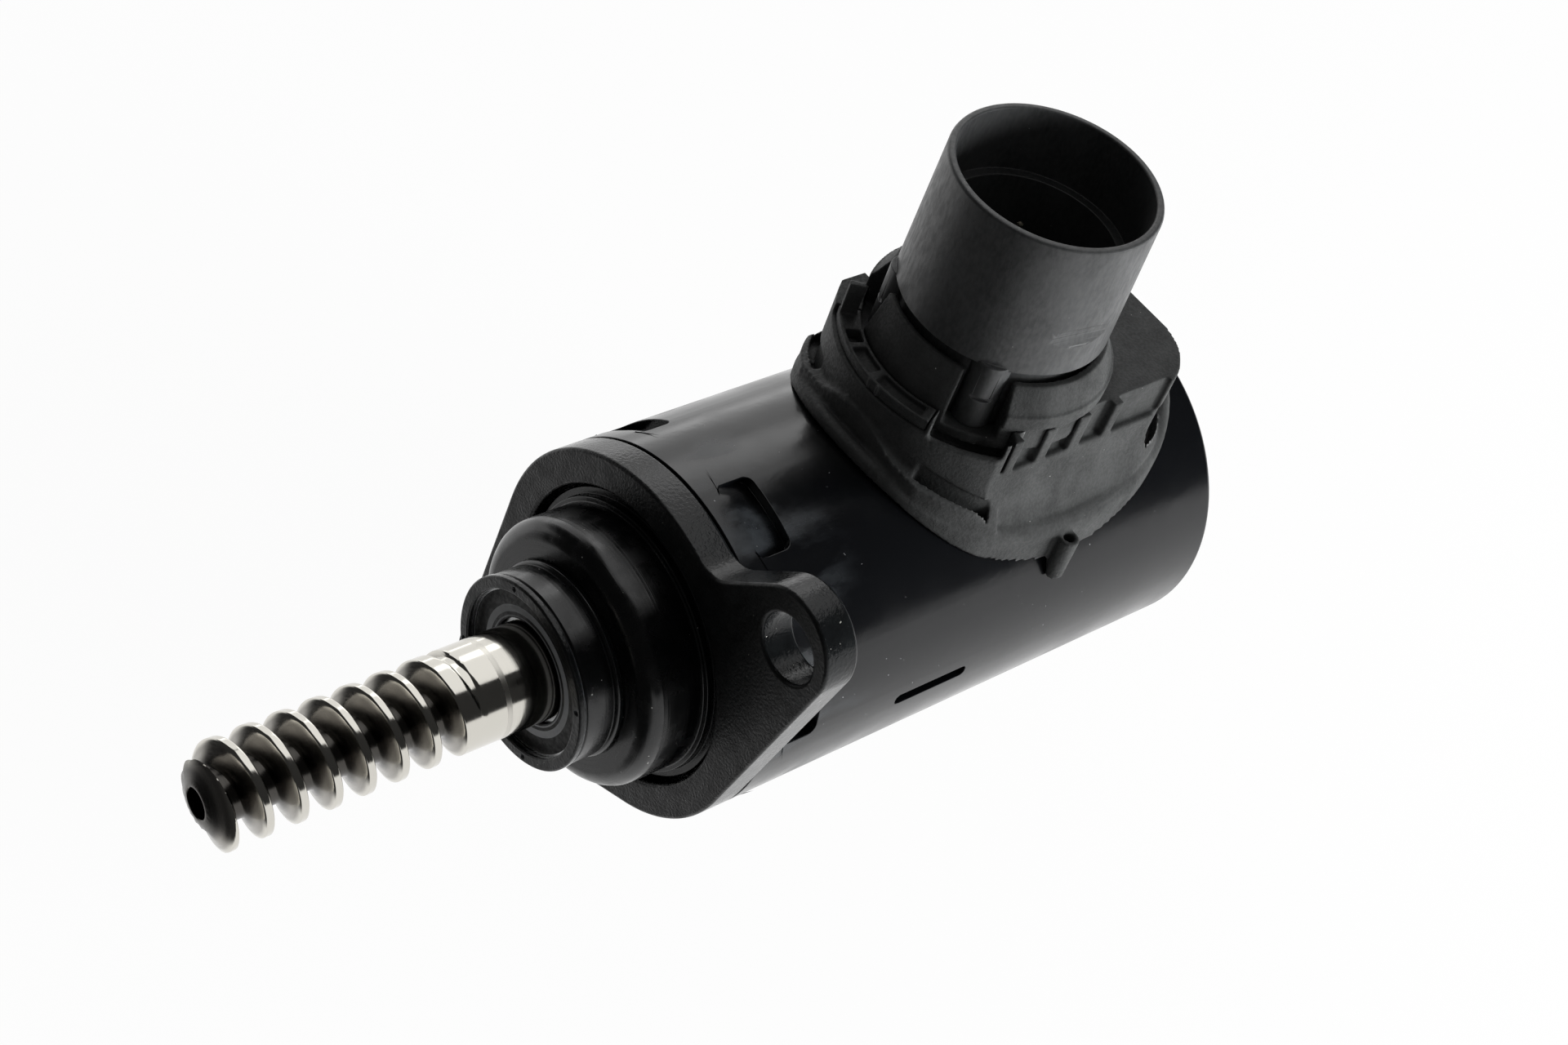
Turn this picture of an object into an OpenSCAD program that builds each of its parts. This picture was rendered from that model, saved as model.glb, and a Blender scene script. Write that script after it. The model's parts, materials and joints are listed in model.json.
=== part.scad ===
// Worm drive actuator motor for an engine bay.
// The motor turns about X, with the worm at -X. The plug connector rises along Z.
// The origin is where the motor axis meets the front face of the mounting flange. Millimetres.

/* [Motor can] */
// Outer radius of the drawn can
can_r = 25; // [24.6:0.1:25.6]
// Wall thickness of the can
can_wall = 2; // [1.8:0.05:2.3]
// Length of the can
can_len = 81; // [79:0.5:90]
// Radius of the can's rear edge
can_corner_r = 1; // [0.4:0.1:1.6]
// Dark seam between the flange and the can
can_seam = 0.2; // [0.1:0.05:0.4]
// Number of lanced pockets round the can's front
pocket_count = 6; // [3:1:8]
// Angle that a pocket spans
pocket_span = 25; // [16:1:30]
// Length of a pocket along the can
pocket_len = 5.4; // [4:0.1:8]
// Depth of a pocket at its sharp end
pocket_depth = 1.5; // [1:0.05:1.7]
// Corner radius of a pocket
pocket_corner_r = 1.2; // [0.6:0.1:1.8]
// Distance from the can's front edge to the pockets
pocket_offset = 2.8; // [1:0.1:3.5]
// Angle of the first pocket, from +Y towards +Z
pocket_angle = 103.5; // [90:0.5:110]
// Length of the locking slot in the can's side
slot_len = 12.5; // [6:0.5:14]
// Width of the locking slot
slot_w = 1.75; // [1:0.05:2.5]
// Distance from the can's front edge to the locking slot
slot_offset = 22.7; // [18:0.1:24]
// Angle of the locking slot, from +Y towards +Z
slot_angle = 179.5; // [170:0.5:190]

/* [Mounting flange] */
// Thickness of the flange
flange_t = 5; // [4:0.1:6]
// Gap between the second step of the housing and the flange's centre hole
flange_gap = 0.65; // [0.4:0.05:1]
// Radius of the two bolt holes
bolt_hole_r = 4.5; // [3.4:0.05:4.6]
// Radius from the motor axis to the bolt holes
bolt_circle_r = 36; // [35:0.1:38]
// Direction of the upper ear, from +Y towards +Z
upper_ear_angle = 135; // [130:1:140]
// End radius of the upper ear
upper_ear_r = 7.3; // [7:0.1:8.5]
// Sideways shift of the upper ear's end
upper_ear_shift = 0.7; // [0:0.1:1]
// Fillet between the upper ear and the flange
ear_fillet_r = 5; // [2:0.25:7]
// Direction of the lower ear, from +Y towards +Z
lower_ear_angle = -56; // [-60:1:-50]
// End radius of the lower ear
lower_ear_r = 7; // [6.6:0.1:8]

/* [Front housing] */
// Outer radius of the nose
nose_r = 12.75; // [12.7:0.01:13.2]
// Distance from the flange face to the front of the nose
nose_reach = 14.05; // [13.5:0.05:15]
// Radius of the ring at the nose's foot
nose_foot_r = 13.1; // [12.9:0.05:13.4]
// Width of the thin groove behind the nose ring
nose_groove_w = 0.3; // [0.2:0.05:0.5]
// Depth of the thin grooves in the nose
nose_groove_d = 0.25; // [0.1:0.05:0.4]
// Outer radius of the boss, which pilots the motor in its seat
boss_r = 17.9; // [17.5:0.05:18.3]
// Distance from the flange face to the boss's front face
boss_reach = 8.5; // [8:0.1:9.5]
// Radius of the boss's front edge
boss_round_r = 2.5; // [1:0.1:3]
// Radius of the first step, inside the flange hole
step_one_r = 18.6; // [18.4:0.05:18.8]
// Depth of the first step behind the flange face
step_one_x = 0.15; // [0.1:0.05:0.6]
// Radius of the second step, inside the flange hole
step_two_r = 19.6; // [19.2:0.05:19.8]
// Depth of the second step behind the flange face
step_two_x = 1.3; // [1:0.1:2]
// Length of the spigot inside the can
spigot_len = 9.3; // [8.9:0.1:9.8]
// Wall of the spigot
spigot_wall = 3; // [2:0.1:3.5]
// Radius of the housing's bore behind the front bearing
housing_bore_r = 10; // [9.5:0.1:10.8]
// Depth of the bearing shoulder
shoulder_w = 2; // [1.5:0.1:3]
// Clearance of the spigot in the can
press_clearance = 0.02; // [0.01:0.005:0.04]

/* [Nose ring] */
// Outer radius of the nose ring
nose_ring_r = 12.9; // [12.8:0.05:13.2]
// Bore radius of the nose ring
nose_ring_bore_r = 11.2; // [11:0.05:11.4]
// Thickness of the nose ring
nose_ring_t = 0.95; // [0.8:0.05:1.2]
// Number of staking dimples
dimple_count = 4; // [3:1:6]
// Radius of a staking dimple
dimple_r = 0.35; // [0.2:0.05:0.5]
// Angle of the first staking dimple
dimple_angle = 66; // [40:1:80]

/* [Front bearing] */
// Bore radius
front_bore_r = 6; // [5.8:0.05:6.2]
// Outer radius
front_od_r = 12; // [11.8:0.05:12.1]
// Width
front_w = 6; // [5.6:0.1:6.4]
// Outer radius of the inner ring
front_inner_r = 8.6; // [8.4:0.05:8.7]
// Inner radius of the outer ring
front_outer_r = 10.4; // [10.3:0.05:10.6]
// Radius of a ball
front_ball_r = 1.35; // [1.2:0.05:1.4]
// Number of balls
front_ball_count = 15; // [9:1:16]
// Outer radius of the seal
seal_r = 10.9; // [10.7:0.05:11.1]
// Thickness of the seal
seal_t = 0.4; // [0.3:0.05:0.5]
// Setback of the inner ring behind the seal
ring_setback = 1; // [0.9:0.05:1.2]

/* [Worm shaft] */
// Outer radius of the worm and the shaft
worm_r = 6.585; // [6.4:0.005:6.9]
// Distance from the flange face to the worm's tip
worm_reach = 59.85; // [58:0.05:62]
// Axial pitch of the single-start, right-handed worm
worm_pitch = 4.57; // [4.3:0.01:4.8]
// Depth of the worm's groove
groove_depth = 3.1; // [2.4:0.05:3.3]
// Width of the groove's root
groove_root_w = 1.2; // [0.8:0.05:1.3]
// Angle of the groove's flanks
flank_angle = 20.8; // [16:0.2:22]
// Distance from the flange face to the end of the worm's run-out
runout_reach = 25.3; // [24:0.1:27]
// Length over which the groove runs out, in turns
runout_turns = 0.55; // [0.3:0.05:0.8]
// Length of the tip's chamfer
tip_len = 1.4; // [1:0.1:1.8]
// Radius of the tip's flat end
tip_r = 2.4; // [2.2:0.1:3]
// Radius of the centre hole in the tip
centre_hole_r = 2; // [1.5:0.05:2.1]
// Depth of the centre hole
centre_hole_depth = 4; // [2:0.5:8]
// Shaft radius behind the front bearing
mid_shaft_r = 5.8; // [5.5:0.05:5.8]

/* [Rotor and stator] */
// Length of the stator and rotor cores
core_len = 30; // [26:0.5:31]
// Distance from the flange face to the cores
core_x = 16.8; // [16.6:0.1:18]
// Width of the stator's outer ring
yoke_w = 3.4; // [3:0.1:4]
// Radius of the stator's bore
stator_bore_r = 13.5; // [13.4:0.05:13.8]
// Number of stator teeth
tooth_count = 9; // [6:3:9]
// Width of a stator tooth
tooth_w = 4; // [3.4:0.1:4.4]
// Depth of the tooth tips
tooth_tip = 1.5; // [1.2:0.1:1.7]
// Opening between two tooth tips
slot_opening = 2.2; // [1.6:0.1:2.6]
// Wall of the bobbins
bobbin_wall = 0.8; // [0.6:0.05:1]
// Thickness of a coil
coil_t = 1.8; // [1.2:0.1:1.9]
// Gap between the rotor magnets and the stator
air_gap = 0.5; // [0.4:0.05:0.8]
// Thickness of the magnets
magnet_t = 1.6; // [1.2:0.1:2]
// Number of magnets
magnet_count = 8; // [4:2:10]
// Angle between two magnets
magnet_gap = 6; // [3:1:10]

/* [Rear bearing and sensor] */
// Bore radius of the rear bearing
rear_bore_r = 4; // [3.8:0.05:4.2]
// Outer radius of the rear bearing
rear_od_r = 11; // [10.8:0.05:11.2]
// Width of the rear bearing
rear_w = 7; // [6.5:0.1:7.5]
// Outer radius of the rear bearing's inner ring
rear_inner_r = 6.1; // [6:0.05:6.3]
// Inner radius of the rear bearing's outer ring
rear_outer_r = 9; // [8.8:0.05:9.2]
// Radius of a rear ball
rear_ball_r = 1.95; // [1.8:0.05:2]
// Number of rear balls
rear_ball_count = 7; // [6:1:8]
// Thickness of the bracket behind the rear bearing
bracket_t = 2; // [1.6:0.1:2.4]
// Wall of the bracket's bearing seat
bracket_wall = 2; // [1.4:0.1:2.6]
// Thickness of the wave washer's space
washer_t = 0.8; // [0.5:0.05:1.2]
// Thickness of the circuit board
board_t = 1.6; // [1.2:0.1:2]
// Distance from the flange face to the circuit board
board_x = 59; // [58.4:0.1:60]
// Radius of the hole in the circuit board
board_hole_r = 10.6; // [10.4:0.1:11.5]
// Outer radius of the sensor magnet
sensor_magnet_r = 9.8; // [9:0.1:10]
// Width of the sensor magnet
sensor_magnet_w = 4; // [3:0.1:5]

/* [Connector base] */
// Distance from the flange face to the connector's axis
plug_x = 50.25; // [49.8:0.05:50.6]
// Height of the base's top plate
plate_z = 34.75; // [34.4:0.05:35.2]
// Radius of the drum round the connector
drum_r = 20; // [19.8:0.1:20.3]
// Half width of the block behind the drum
block_half_w = 16.7; // [16.4:0.1:17]
// Distance from the flange face to the block's rear wall
block_rear_x = 77.9; // [77:0.1:79]
// Corner radius of the block's rear wall
block_corner_r = 10; // [8:0.25:12]
// End radius of the rim, seen from above
rim_end_r = 20.5; // [20.3:0.05:20.8]
// Side radius of the rim, seen from above
rim_side_r = 50; // [46:0.5:54]
// Distance from the flange face to the rim's middle
rim_x = 55.9; // [55.7:0.05:56.2]
// Distance from the rim's middle to the centre of each end
rim_spread = 7.98; // [7.8:0.02:8.2]
// Width of the rim's wall
rim_w = 2.2; // [2:0.1:2.6]
// Radius of the curved surface that the rim's top follows
rim_crown_r = 33.2; // [32.9:0.05:33.4]
// Depth of that surface's axis below the motor axis
rim_crown_drop = 6.3; // [6.2:0.05:6.5]
// Depth of the valley inside the rim
valley_depth = 1.2; // [1:0.05:1.5]
// Radius of the concave flank above the valley
flank_r = 14.3; // [12:0.1:16]
// Height at which the flank becomes upright
flank_z = 29; // [28.5:0.1:29.5]
// Depth of the pockets in the block's wall
niche_depth = 1.3; // [0.8:0.05:1.8]
// Height of the pockets' floors
niche_z = 29.2; // [29:0.1:30]
// Inner radius of the parapet round the drum
parapet_r = 20.95; // [20.8:0.05:21.1]
// Height of the parapet's middle
parapet_z = 30.1; // [29.7:0.1:30.3]
// Depth of the groove in the drum's wall behind the parapet
moat_depth = 0.4; // [0.2:0.05:0.6]
// Radius of the nub on the rim's side
nub_r = 1.5; // [1.3:0.1:1.7]
// Radius of the hole in the nub
nub_hole_r = 0.8; // [0.5:0.05:0.9]
// Height of the nub
nub_z = 17.8; // [17:0.1:18.6]

/* [Connector sleeve] */
// Height of the sleeve's rim
sleeve_z = 62.8; // [61:0.1:66]
// Outer radius at the sleeve's rim
sleeve_top_r = 14.05; // [13.9:0.01:14.3]
// Outer radius at the sleeve's lower edge
sleeve_low_r = 14.4; // [14.3:0.01:14.5]
// Height of the sleeve's lower edge
sleeve_low_z = 42.5; // [42.2:0.1:43.5]
// Radius of the plug bore
plug_bore_r = 12.95; // [12.8:0.01:13.05]
// Depth of the plug bore
plug_bore_depth = 9.8; // [8:0.1:12]
// Radius of the well below the plug bore
well_r = 11.6; // [11.3:0.05:11.8]
// Radius of the sleeve's neck
neck_r = 13; // [12.9:0.01:13.1]
// Width of the keys below the sleeve
key_w = 5.1; // [4.5:0.1:5.2]
// Angle of each key from the front
key_angle = 43; // [41:0.5:45]

/* [Guide collar and latch track] */
// Inner radius of the collar
collar_in_r = 13.9; // [13.8:0.05:14]
// Radius of the collar's foot
collar_foot_r = 16.3; // [16.2:0.05:16.4]
// Radius of the collar's lip
collar_lip_r = 14.85; // [14.6:0.05:15]
// Height of the collar's lip
collar_lip_z = 41; // [40:0.1:41.4]
// Radius of the collar's ledge
ledge_r = 16.9; // [16.8:0.05:17.1]
// Height of the ledge's top
ledge_z = 37.45; // [37:0.05:37.8]
// Half angle of the collar's front wall
front_wall_half = 30.5; // [29:0.5:32]
// Half angle of the collar's rear wall
rear_wall_half = 124; // [122:0.5:126]
// Thickness of the latch track's floor
track_t = 0.8; // [0.6:0.05:1.1]
// Height of the latch track's rails above its floor
rail_h = 0.8; // [0.5:0.05:1.1]
// Width of the latch track's rails
rail_w = 0.5; // [0.4:0.05:0.8]

/* [Terminals] */
// Height of the terminal carrier's top
carrier_z = 45; // [43:0.5:48]
// Height of the power blades
blade_z = 50.5; // [49:0.5:52.5]
// Width of a power blade
blade_w = 2.8; // [2:0.1:3]
// Thickness of a power blade
blade_t = 0.8; // [0.5:0.05:1]
// Distance between the power blades
blade_pitch = 5.5; // [5:0.1:6]
// Width of a signal pin
pin_w = 0.64; // [0.5:0.02:0.8]
// Distance between the signal pins
pin_pitch = 2.5; // [2.2:0.05:3]
// Thickness of the lead strips
strip_t = 0.6; // [0.4:0.05:0.7]

/* [Hidden] */
$fn = 96;
EPS = 0.01;
OVER = 5;

// Can and housing
can_in_r = can_r - can_wall;
can_x = flange_t + can_seam;
can_end_x = can_x + can_len;
spigot_r = can_in_r - press_clearance;
flange_hole_r = step_two_r + flange_gap;

// Front bearing
front_x = -nose_reach;
front_end_x = front_x + front_w;
front_pitch_r = (front_inner_r + front_outer_r) / 2;
ball_play = 0.1;
cage_play = 0.3;
seal_x = front_x + 0.3;
seal_lip_r = worm_r + 0.5;

// Worm
groove_root_r = worm_r - groove_depth;
groove_over = 0.6;
thread_phase = 90;
thread_steps = 32;
thread_start = -worm_reach - worm_pitch * 0.75;
thread_end = -runout_reach;
thread_phase_x = -52.665;
circlip_t = 0.8;
circlip_depth = 0.5;
circlip_r = 7.9;
thread_turns = (thread_end - thread_start) / worm_pitch;

// Rotor and stator
coil_over = 2;
coil_gap = 0.4;
core_end_x = core_x + core_len;
tooth_root_r = spigot_r - yoke_w;
magnet_r = stator_bore_r - air_gap;
rotor_core_r = magnet_r - magnet_t;
bobbin_in_r = stator_bore_r + tooth_tip + 0.2;
coil_end_x = core_end_x + bobbin_wall + coil_over;
busbar_t = 0.6;
busbar_gap = 0.3;
busbar_in_r = 15.5;
busbar_out_r = 18.5;

// Rear bearing and sensor
bracket_x = can_end_x - can_wall - bracket_t;
rear_end_x = bracket_x - washer_t;
rear_x = rear_end_x - rear_w;
rear_pitch_r = (rear_inner_r + rear_outer_r) / 2;
shaft_end_x = bracket_x - 0.5;
magnet_x = board_x + board_t + 1.4;
chip_size = 4.6;
chip_t = 1;

// Connector
base_play = 0.12;
gasket_t = 0.8;
gasket_in_r = 10.5;
gasket_out_r = 12.2;
lead_hole_r = 9;
valley_r = rim_crown_r - valley_depth;
foot_z = 31.4;
foot_t = 1.5;
track_floor_z = plate_z - rail_h;
track_in_r = collar_foot_r + 0.25;
track_out_r = drum_r - 0.5;
track_from = 139;
track_start = 150;
track_end = 207;
sleeve_foot_z = 29.4;
sleeve_foot_r = 13.35;
niche_edges = [[43.2, 47.2], [49.1, 53.1], [55.3, 59.6], [61.3, 70.8]];
nub_x = plug_x + 3.75;
nub_y = -22.4;
recess_z = plate_z - 5.25;
gate_z = plate_z - 2.15;
scoop_r = 2.3;
scoop_z = 48.75;
scoop_angle = -97;
lead_low_z = spigot_r - 2.4;

// A turned shape about the motor axis, from points [radius, x]
module turned(points) {
    rotate([0, 90, 0])
        rotate_extrude()
            polygon(points);
}

// A tube about the motor axis
module tube_x(x0, x1, r0, r1) {
    turned([[r0, x0], [r1, x0], [r1, x1], [r0, x1]]);
}

// A cylinder along the motor axis
module rod_x(x0, x1, r) {
    translate([x0, 0, 0])
        rotate([0, 90, 0])
            cylinder(h = x1 - x0, r = r);
}

// A flat outline in Y and Z, given its thickness along X
module plate_x(x0, x1) {
    translate([x0, 0, 0])
        rotate([90, 0, 90])
            linear_extrude(x1 - x0)
                children();
}

// Places a child, made along +Y, at an angle about the motor axis
module at_angle(phi) {
    rotate([phi, 0, 0])
        children();
}

// A sector about the connector's axis, from points [radius, z]
module plug_sector(from, to, points) {
    translate([plug_x, 0, 0])
        rotate([0, 0, from])
            rotate_extrude(angle = to - from)
                polygon(points);
}

// A full turned shape about the connector's axis
module plug_turned(points) {
    translate([plug_x, 0, 0])
        rotate_extrude()
            polygon(points);
}

// A rectangle with round corners about the origin
module rounded(w, h, r) {
    square([w - 2 * r, h], center = true);
    square([w, h - 2 * r], center = true);
    for (sx = [-1, 1], sy = [-1, 1])
        translate([sx * (w / 2 - r), sy * (h / 2 - r)])
            circle(r);
}

// A rectangle about the origin whose corners are rounded in four flats each
module soft_corners(w, h, r) {
    polygon([
        for (q = [0:3], a = [0:22.5:90])
            let (sx = (q == 0 || q == 3) ? 1 : -1, sy = q < 2 ? 1 : -1)
            [sx * (w / 2 - r) + r * cos(90 * q + a), sy * (h / 2 - r) + r * sin(90 * q + a)]
    ]);
}

// Motor can

// The drawn cup, closed at the rear
module can_shell() {
    turned([
        [can_in_r, can_x],
        [can_r, can_x],
        [can_r, can_end_x - can_corner_r],
        for (a = [15:15:90])
            [can_r - can_corner_r + can_corner_r * cos(a), can_end_x - can_corner_r + can_corner_r * sin(a)],
        [0, can_end_x],
        [0, can_end_x - can_wall],
        [can_in_r, can_end_x - can_wall]
    ]);
}

// One lanced pocket: a ramp that deepens towards the rear, cut off by a sharp wall
module pocket_tool() {
    x0 = can_x + pocket_offset;
    x1 = x0 + pocket_len;
    chord = 2 * can_r * sin(pocket_span / 2);
    difference() {
        translate([(x0 + x1) / 2, can_r - OVER, 0])
            rotate([-90, 0, 0])
                linear_extrude(OVER + 1)
                    soft_corners(pocket_len, chord, pocket_corner_r);
        turned([
            [0, x0 - 1],
            [can_r + pocket_depth / pocket_len, x0 - 1],
            [can_r - pocket_depth, x1],
            [can_r - pocket_depth, x1 + 1],
            [0, x1 + 1]
        ]);
    }
}

module motor_can() {
    color("#15171b")
        difference() {
            can_shell();
            for (i = [0:pocket_count - 1])
                at_angle(pocket_angle + i * 360 / pocket_count)
                    pocket_tool();
            at_angle(slot_angle)
                translate([can_x + slot_offset + slot_len / 2, 0, 0])
                    rotate([-90, 0, 0])
                        linear_extrude(can_r + 1)
                            soft_corners(slot_len, slot_w, slot_w / 2 - 0.2);
            translate([plug_x, 0, can_in_r - OVER])
                cylinder(h = 2 * OVER, r = lead_hole_r);
        }
}

// Mounting flange

// Points of an arc about a centre, from one angle to another
function arc(centre, r, from, to, steps) =
    [for (i = [0:steps]) let (a = from + (to - from) * i / steps) centre + r * [cos(a), sin(a)]];

// Points turned about the origin
function turn(points, a) =
    [for (p = points) [p[0] * cos(a) - p[1] * sin(a), p[0] * sin(a) + p[1] * cos(a)]];

// The upper ear has a fillet on one side and a tangent on the other, the lower ear two tangents
module flange_outline() {
    side = upper_ear_r + upper_ear_shift;
    upper_end = [bolt_circle_r, -upper_ear_shift];
    upper_lean = acos((can_r - upper_ear_r) / norm(upper_end)) - atan(upper_ear_shift / bolt_circle_r);
    fillet = [sqrt(pow(can_r + ear_fillet_r, 2) - pow(side + ear_fillet_r, 2)), -side - ear_fillet_r];
    fillet_angle = atan(fillet[1] / fillet[0]);
    lower_lean = acos((can_r - lower_ear_r) / bolt_circle_r);
    polygon(concat(
        arc([0, 0], can_r, lower_ear_angle + lower_lean, upper_ear_angle + fillet_angle, 36),
        turn(arc(fillet, ear_fillet_r, 180 + fillet_angle, 90, 8), upper_ear_angle),
        turn(arc(upper_end, upper_ear_r, -90, upper_lean, 24), upper_ear_angle),
        arc([0, 0], can_r, upper_ear_angle + upper_lean, 360 + lower_ear_angle - lower_lean, 24),
        turn(arc([bolt_circle_r, 0], lower_ear_r, -lower_lean, lower_lean, 20), lower_ear_angle)
    ));
}

module mounting_flange() {
    color("#2c2e30")
        difference() {
            plate_x(0, flange_t)
                flange_outline();
            rod_x(-OVER, flange_t + OVER, flange_hole_r);
            for (a = [upper_ear_angle, lower_ear_angle])
                at_angle(a)
                    translate([-OVER, bolt_circle_r, 0])
                        rotate([0, 90, 0])
                            cylinder(h = flange_t + 2 * OVER, r = bolt_hole_r);
        }
}

// Front housing

// Everything outside the housing's bores: nose, boss, steps, shoulder and spigot
module housing_outside() {
    foot_h = nose_foot_r - nose_r + nose_groove_d;
    turned([
        [0, front_x],
        [nose_r - 0.2, front_x],
        [nose_r - 0.2, front_x + nose_groove_w],
        [nose_r, front_x + nose_groove_w + 0.1],
        [nose_r, -boss_reach - 1.3],
        [nose_r - nose_groove_d, -boss_reach - 1.2],
        for (a = [0:30:180])
            [nose_r - nose_groove_d + foot_h * sin(a), -boss_reach - (1 + cos(a)) / 2],
        for (a = [0:15:90])
            [boss_r - boss_round_r + boss_round_r * sin(a), -boss_reach + boss_round_r * (1 - cos(a))],
        [boss_r, step_one_x],
        [step_one_r, step_one_x],
        [step_one_r, step_two_x],
        [step_two_r, step_two_x],
        [step_two_r, flange_t],
        [spigot_r, flange_t],
        [spigot_r, can_x + spigot_len],
        [0, can_x + spigot_len]
    ]);
}

// The bearing seat, the bore behind it and the space for the coils
module housing_inside() {
    cavity_r = spigot_r - spigot_wall;
    turned([
        [0, front_x - OVER],
        [front_od_r, front_x - OVER],
        [front_od_r, front_end_x],
        [housing_bore_r, front_end_x],
        [housing_bore_r, front_end_x + shoulder_w],
        [boss_r - 4, front_end_x + shoulder_w + 2],
        [boss_r - 4, flange_t - 2],
        [cavity_r, flange_t + 2],
        [cavity_r, can_x + spigot_len + OVER],
        [0, can_x + spigot_len + OVER]
    ]);
}

module front_housing() {
    color("#1f2123")
        difference() {
            housing_outside();
            housing_inside();
        }
}

module nose_ring() {
    dimple_place_r = (nose_ring_r + nose_ring_bore_r) / 2;
    color("#2a2c2e")
        difference() {
            turned([
                [nose_ring_bore_r, front_x],
                [nose_ring_r, front_x],
                [nose_ring_r, front_x - nose_ring_t + 0.2],
                [nose_ring_r - 0.2, front_x - nose_ring_t],
                [nose_ring_bore_r + 0.15, front_x - nose_ring_t],
                [nose_ring_bore_r, front_x - nose_ring_t + 0.15]
            ]);
            for (i = [0:dimple_count - 1])
                at_angle(dimple_angle + i * 360 / dimple_count)
                    translate([front_x - nose_ring_t, dimple_place_r, 0])
                        sphere(dimple_r);
        }
}

// Bearings

// A bearing ring with a groove for the balls
module race(x0, w, r0, r1, pitch_r, ball_r) {
    difference() {
        tube_x(x0, x0 + w, r0, r1);
        rotate([0, 90, 0])
            rotate_extrude()
                translate([pitch_r, x0 + w / 2])
                    circle(ball_r + ball_play);
    }
}

module balls(x0, w, pitch_r, ball_r, count) {
    for (i = [0:count - 1])
        at_angle(i * 360 / count)
            translate([x0 + w / 2, pitch_r, 0])
                sphere(ball_r);
}

// A cage between the two rings, with a round pocket for each ball
module cage(x0, w, r0, r1, pitch_r, ball_r, count) {
    half = ball_r + 0.4;
    mid = x0 + w / 2;
    difference() {
        tube_x(mid - half, mid + half, r0 + cage_play, r1 - cage_play);
        for (i = [0:count - 1])
            at_angle(i * 360 / count)
                translate([mid, r0, 0])
                    rotate([-90, 0, 0])
                        cylinder(h = r1 - r0, r = ball_r + ball_play / 2);
    }
}

module front_bearing_outer_ring() {
    color("#8d9093")
        difference() {
            race(front_x, front_w, front_outer_r, front_od_r, front_pitch_r, front_ball_r);
            rod_x(front_x - OVER, seal_x + seal_t, seal_r);
        }
}

module front_bearing_balls() {
    color("#b9bcbf")
        balls(front_x, front_w, front_pitch_r, front_ball_r, front_ball_count);
}

module front_bearing_cage() {
    color("#9a8f78")
        cage(front_x, front_w, front_inner_r, front_outer_r, front_pitch_r, front_ball_r, front_ball_count);
}

module front_bearing_seal() {
    color("#17181a")
        tube_x(seal_x, seal_x + seal_t, seal_lip_r, seal_r);
}

module front_bearing_inner_ring() {
    color("#c8cacc")
        difference() {
            race(front_x, front_w, front_bore_r, front_inner_r, front_pitch_r, front_ball_r);
            rod_x(front_x - OVER, front_x + ring_setback, front_inner_r + 1);
        }
}

module rear_bearing_outer_ring() {
    color("#8d9093")
        race(rear_x, rear_w, rear_outer_r, rear_od_r, rear_pitch_r, rear_ball_r);
}

module rear_bearing_balls() {
    color("#b9bcbf")
        balls(rear_x, rear_w, rear_pitch_r, rear_ball_r, rear_ball_count);
}

module rear_bearing_cage() {
    color("#9a8f78")
        cage(rear_x, rear_w, rear_inner_r, rear_outer_r, rear_pitch_r, rear_ball_r, rear_ball_count);
}

module rear_bearing_inner_ring() {
    color("#c8cacc")
        race(rear_x, rear_w, rear_bore_r, rear_inner_r, rear_pitch_r, rear_ball_r);
}

// Retaining ring in the shaft's groove behind the front bearing, open at one side
module shaft_circlip() {
    color("#6f7275")
        difference() {
            tube_x(front_end_x, front_end_x + circlip_t, front_bore_r - circlip_depth, circlip_r);
            translate([front_end_x - OVER, 0, -1.5])
                cube([2 * OVER, circlip_r + 2, 3]);
        }
}

// Worm shaft

// The groove's section at one turn position: axial offset and radius, lifted out at the run-out
function lift(t) = groove_depth * 1.1 * max(0, 1 - (thread_turns - t) / runout_turns);
function groove_width(r) = groove_root_w / 2 + (r - groove_root_r) * tan(flank_angle);
function groove_section() = [
    [-groove_width(worm_r + groove_over), worm_r + groove_over],
    [-groove_width(groove_root_r + 0.3), groove_root_r + 0.3],
    [-groove_root_w / 2 + 0.15, groove_root_r],
    [groove_root_w / 2 - 0.15, groove_root_r],
    [groove_width(groove_root_r + 0.3), groove_root_r + 0.3],
    [groove_width(worm_r + groove_over), worm_r + groove_over]
];

// One section of the groove, placed at t turns from the start of the helix
function groove_ring(t) =
    let (
        x = thread_start + t * worm_pitch,
        phi = thread_phase + 360 * (x - thread_phase_x) / worm_pitch,
        up = lift(t)
    )
    [for (p = groove_section()) [x + p[0], (p[1] + up) * cos(phi), (p[1] + up) * sin(phi)]];

// Faces of a tube of sections, closed at both ends
function loft_faces(rings, sides) = concat(
    [[for (j = [0:sides - 1]) j]],
    [for (i = [0:rings - 2], j = [0:sides - 1])
        let (a = i * sides + j, b = i * sides + (j + 1) % sides)
        [a, a + sides, b + sides, b]],
    [[for (j = [0:sides - 1]) (rings - 1) * sides + sides - 1 - j]]
);

module worm_groove() {
    steps = ceil(thread_turns * thread_steps);
    rings = [for (i = [0:steps]) groove_ring(thread_turns * i / steps)];
    polyhedron(
        points = [for (ring = rings) each ring],
        faces = loft_faces(steps + 1, len(groove_section())),
        convexity = 12
    );
}

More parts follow.
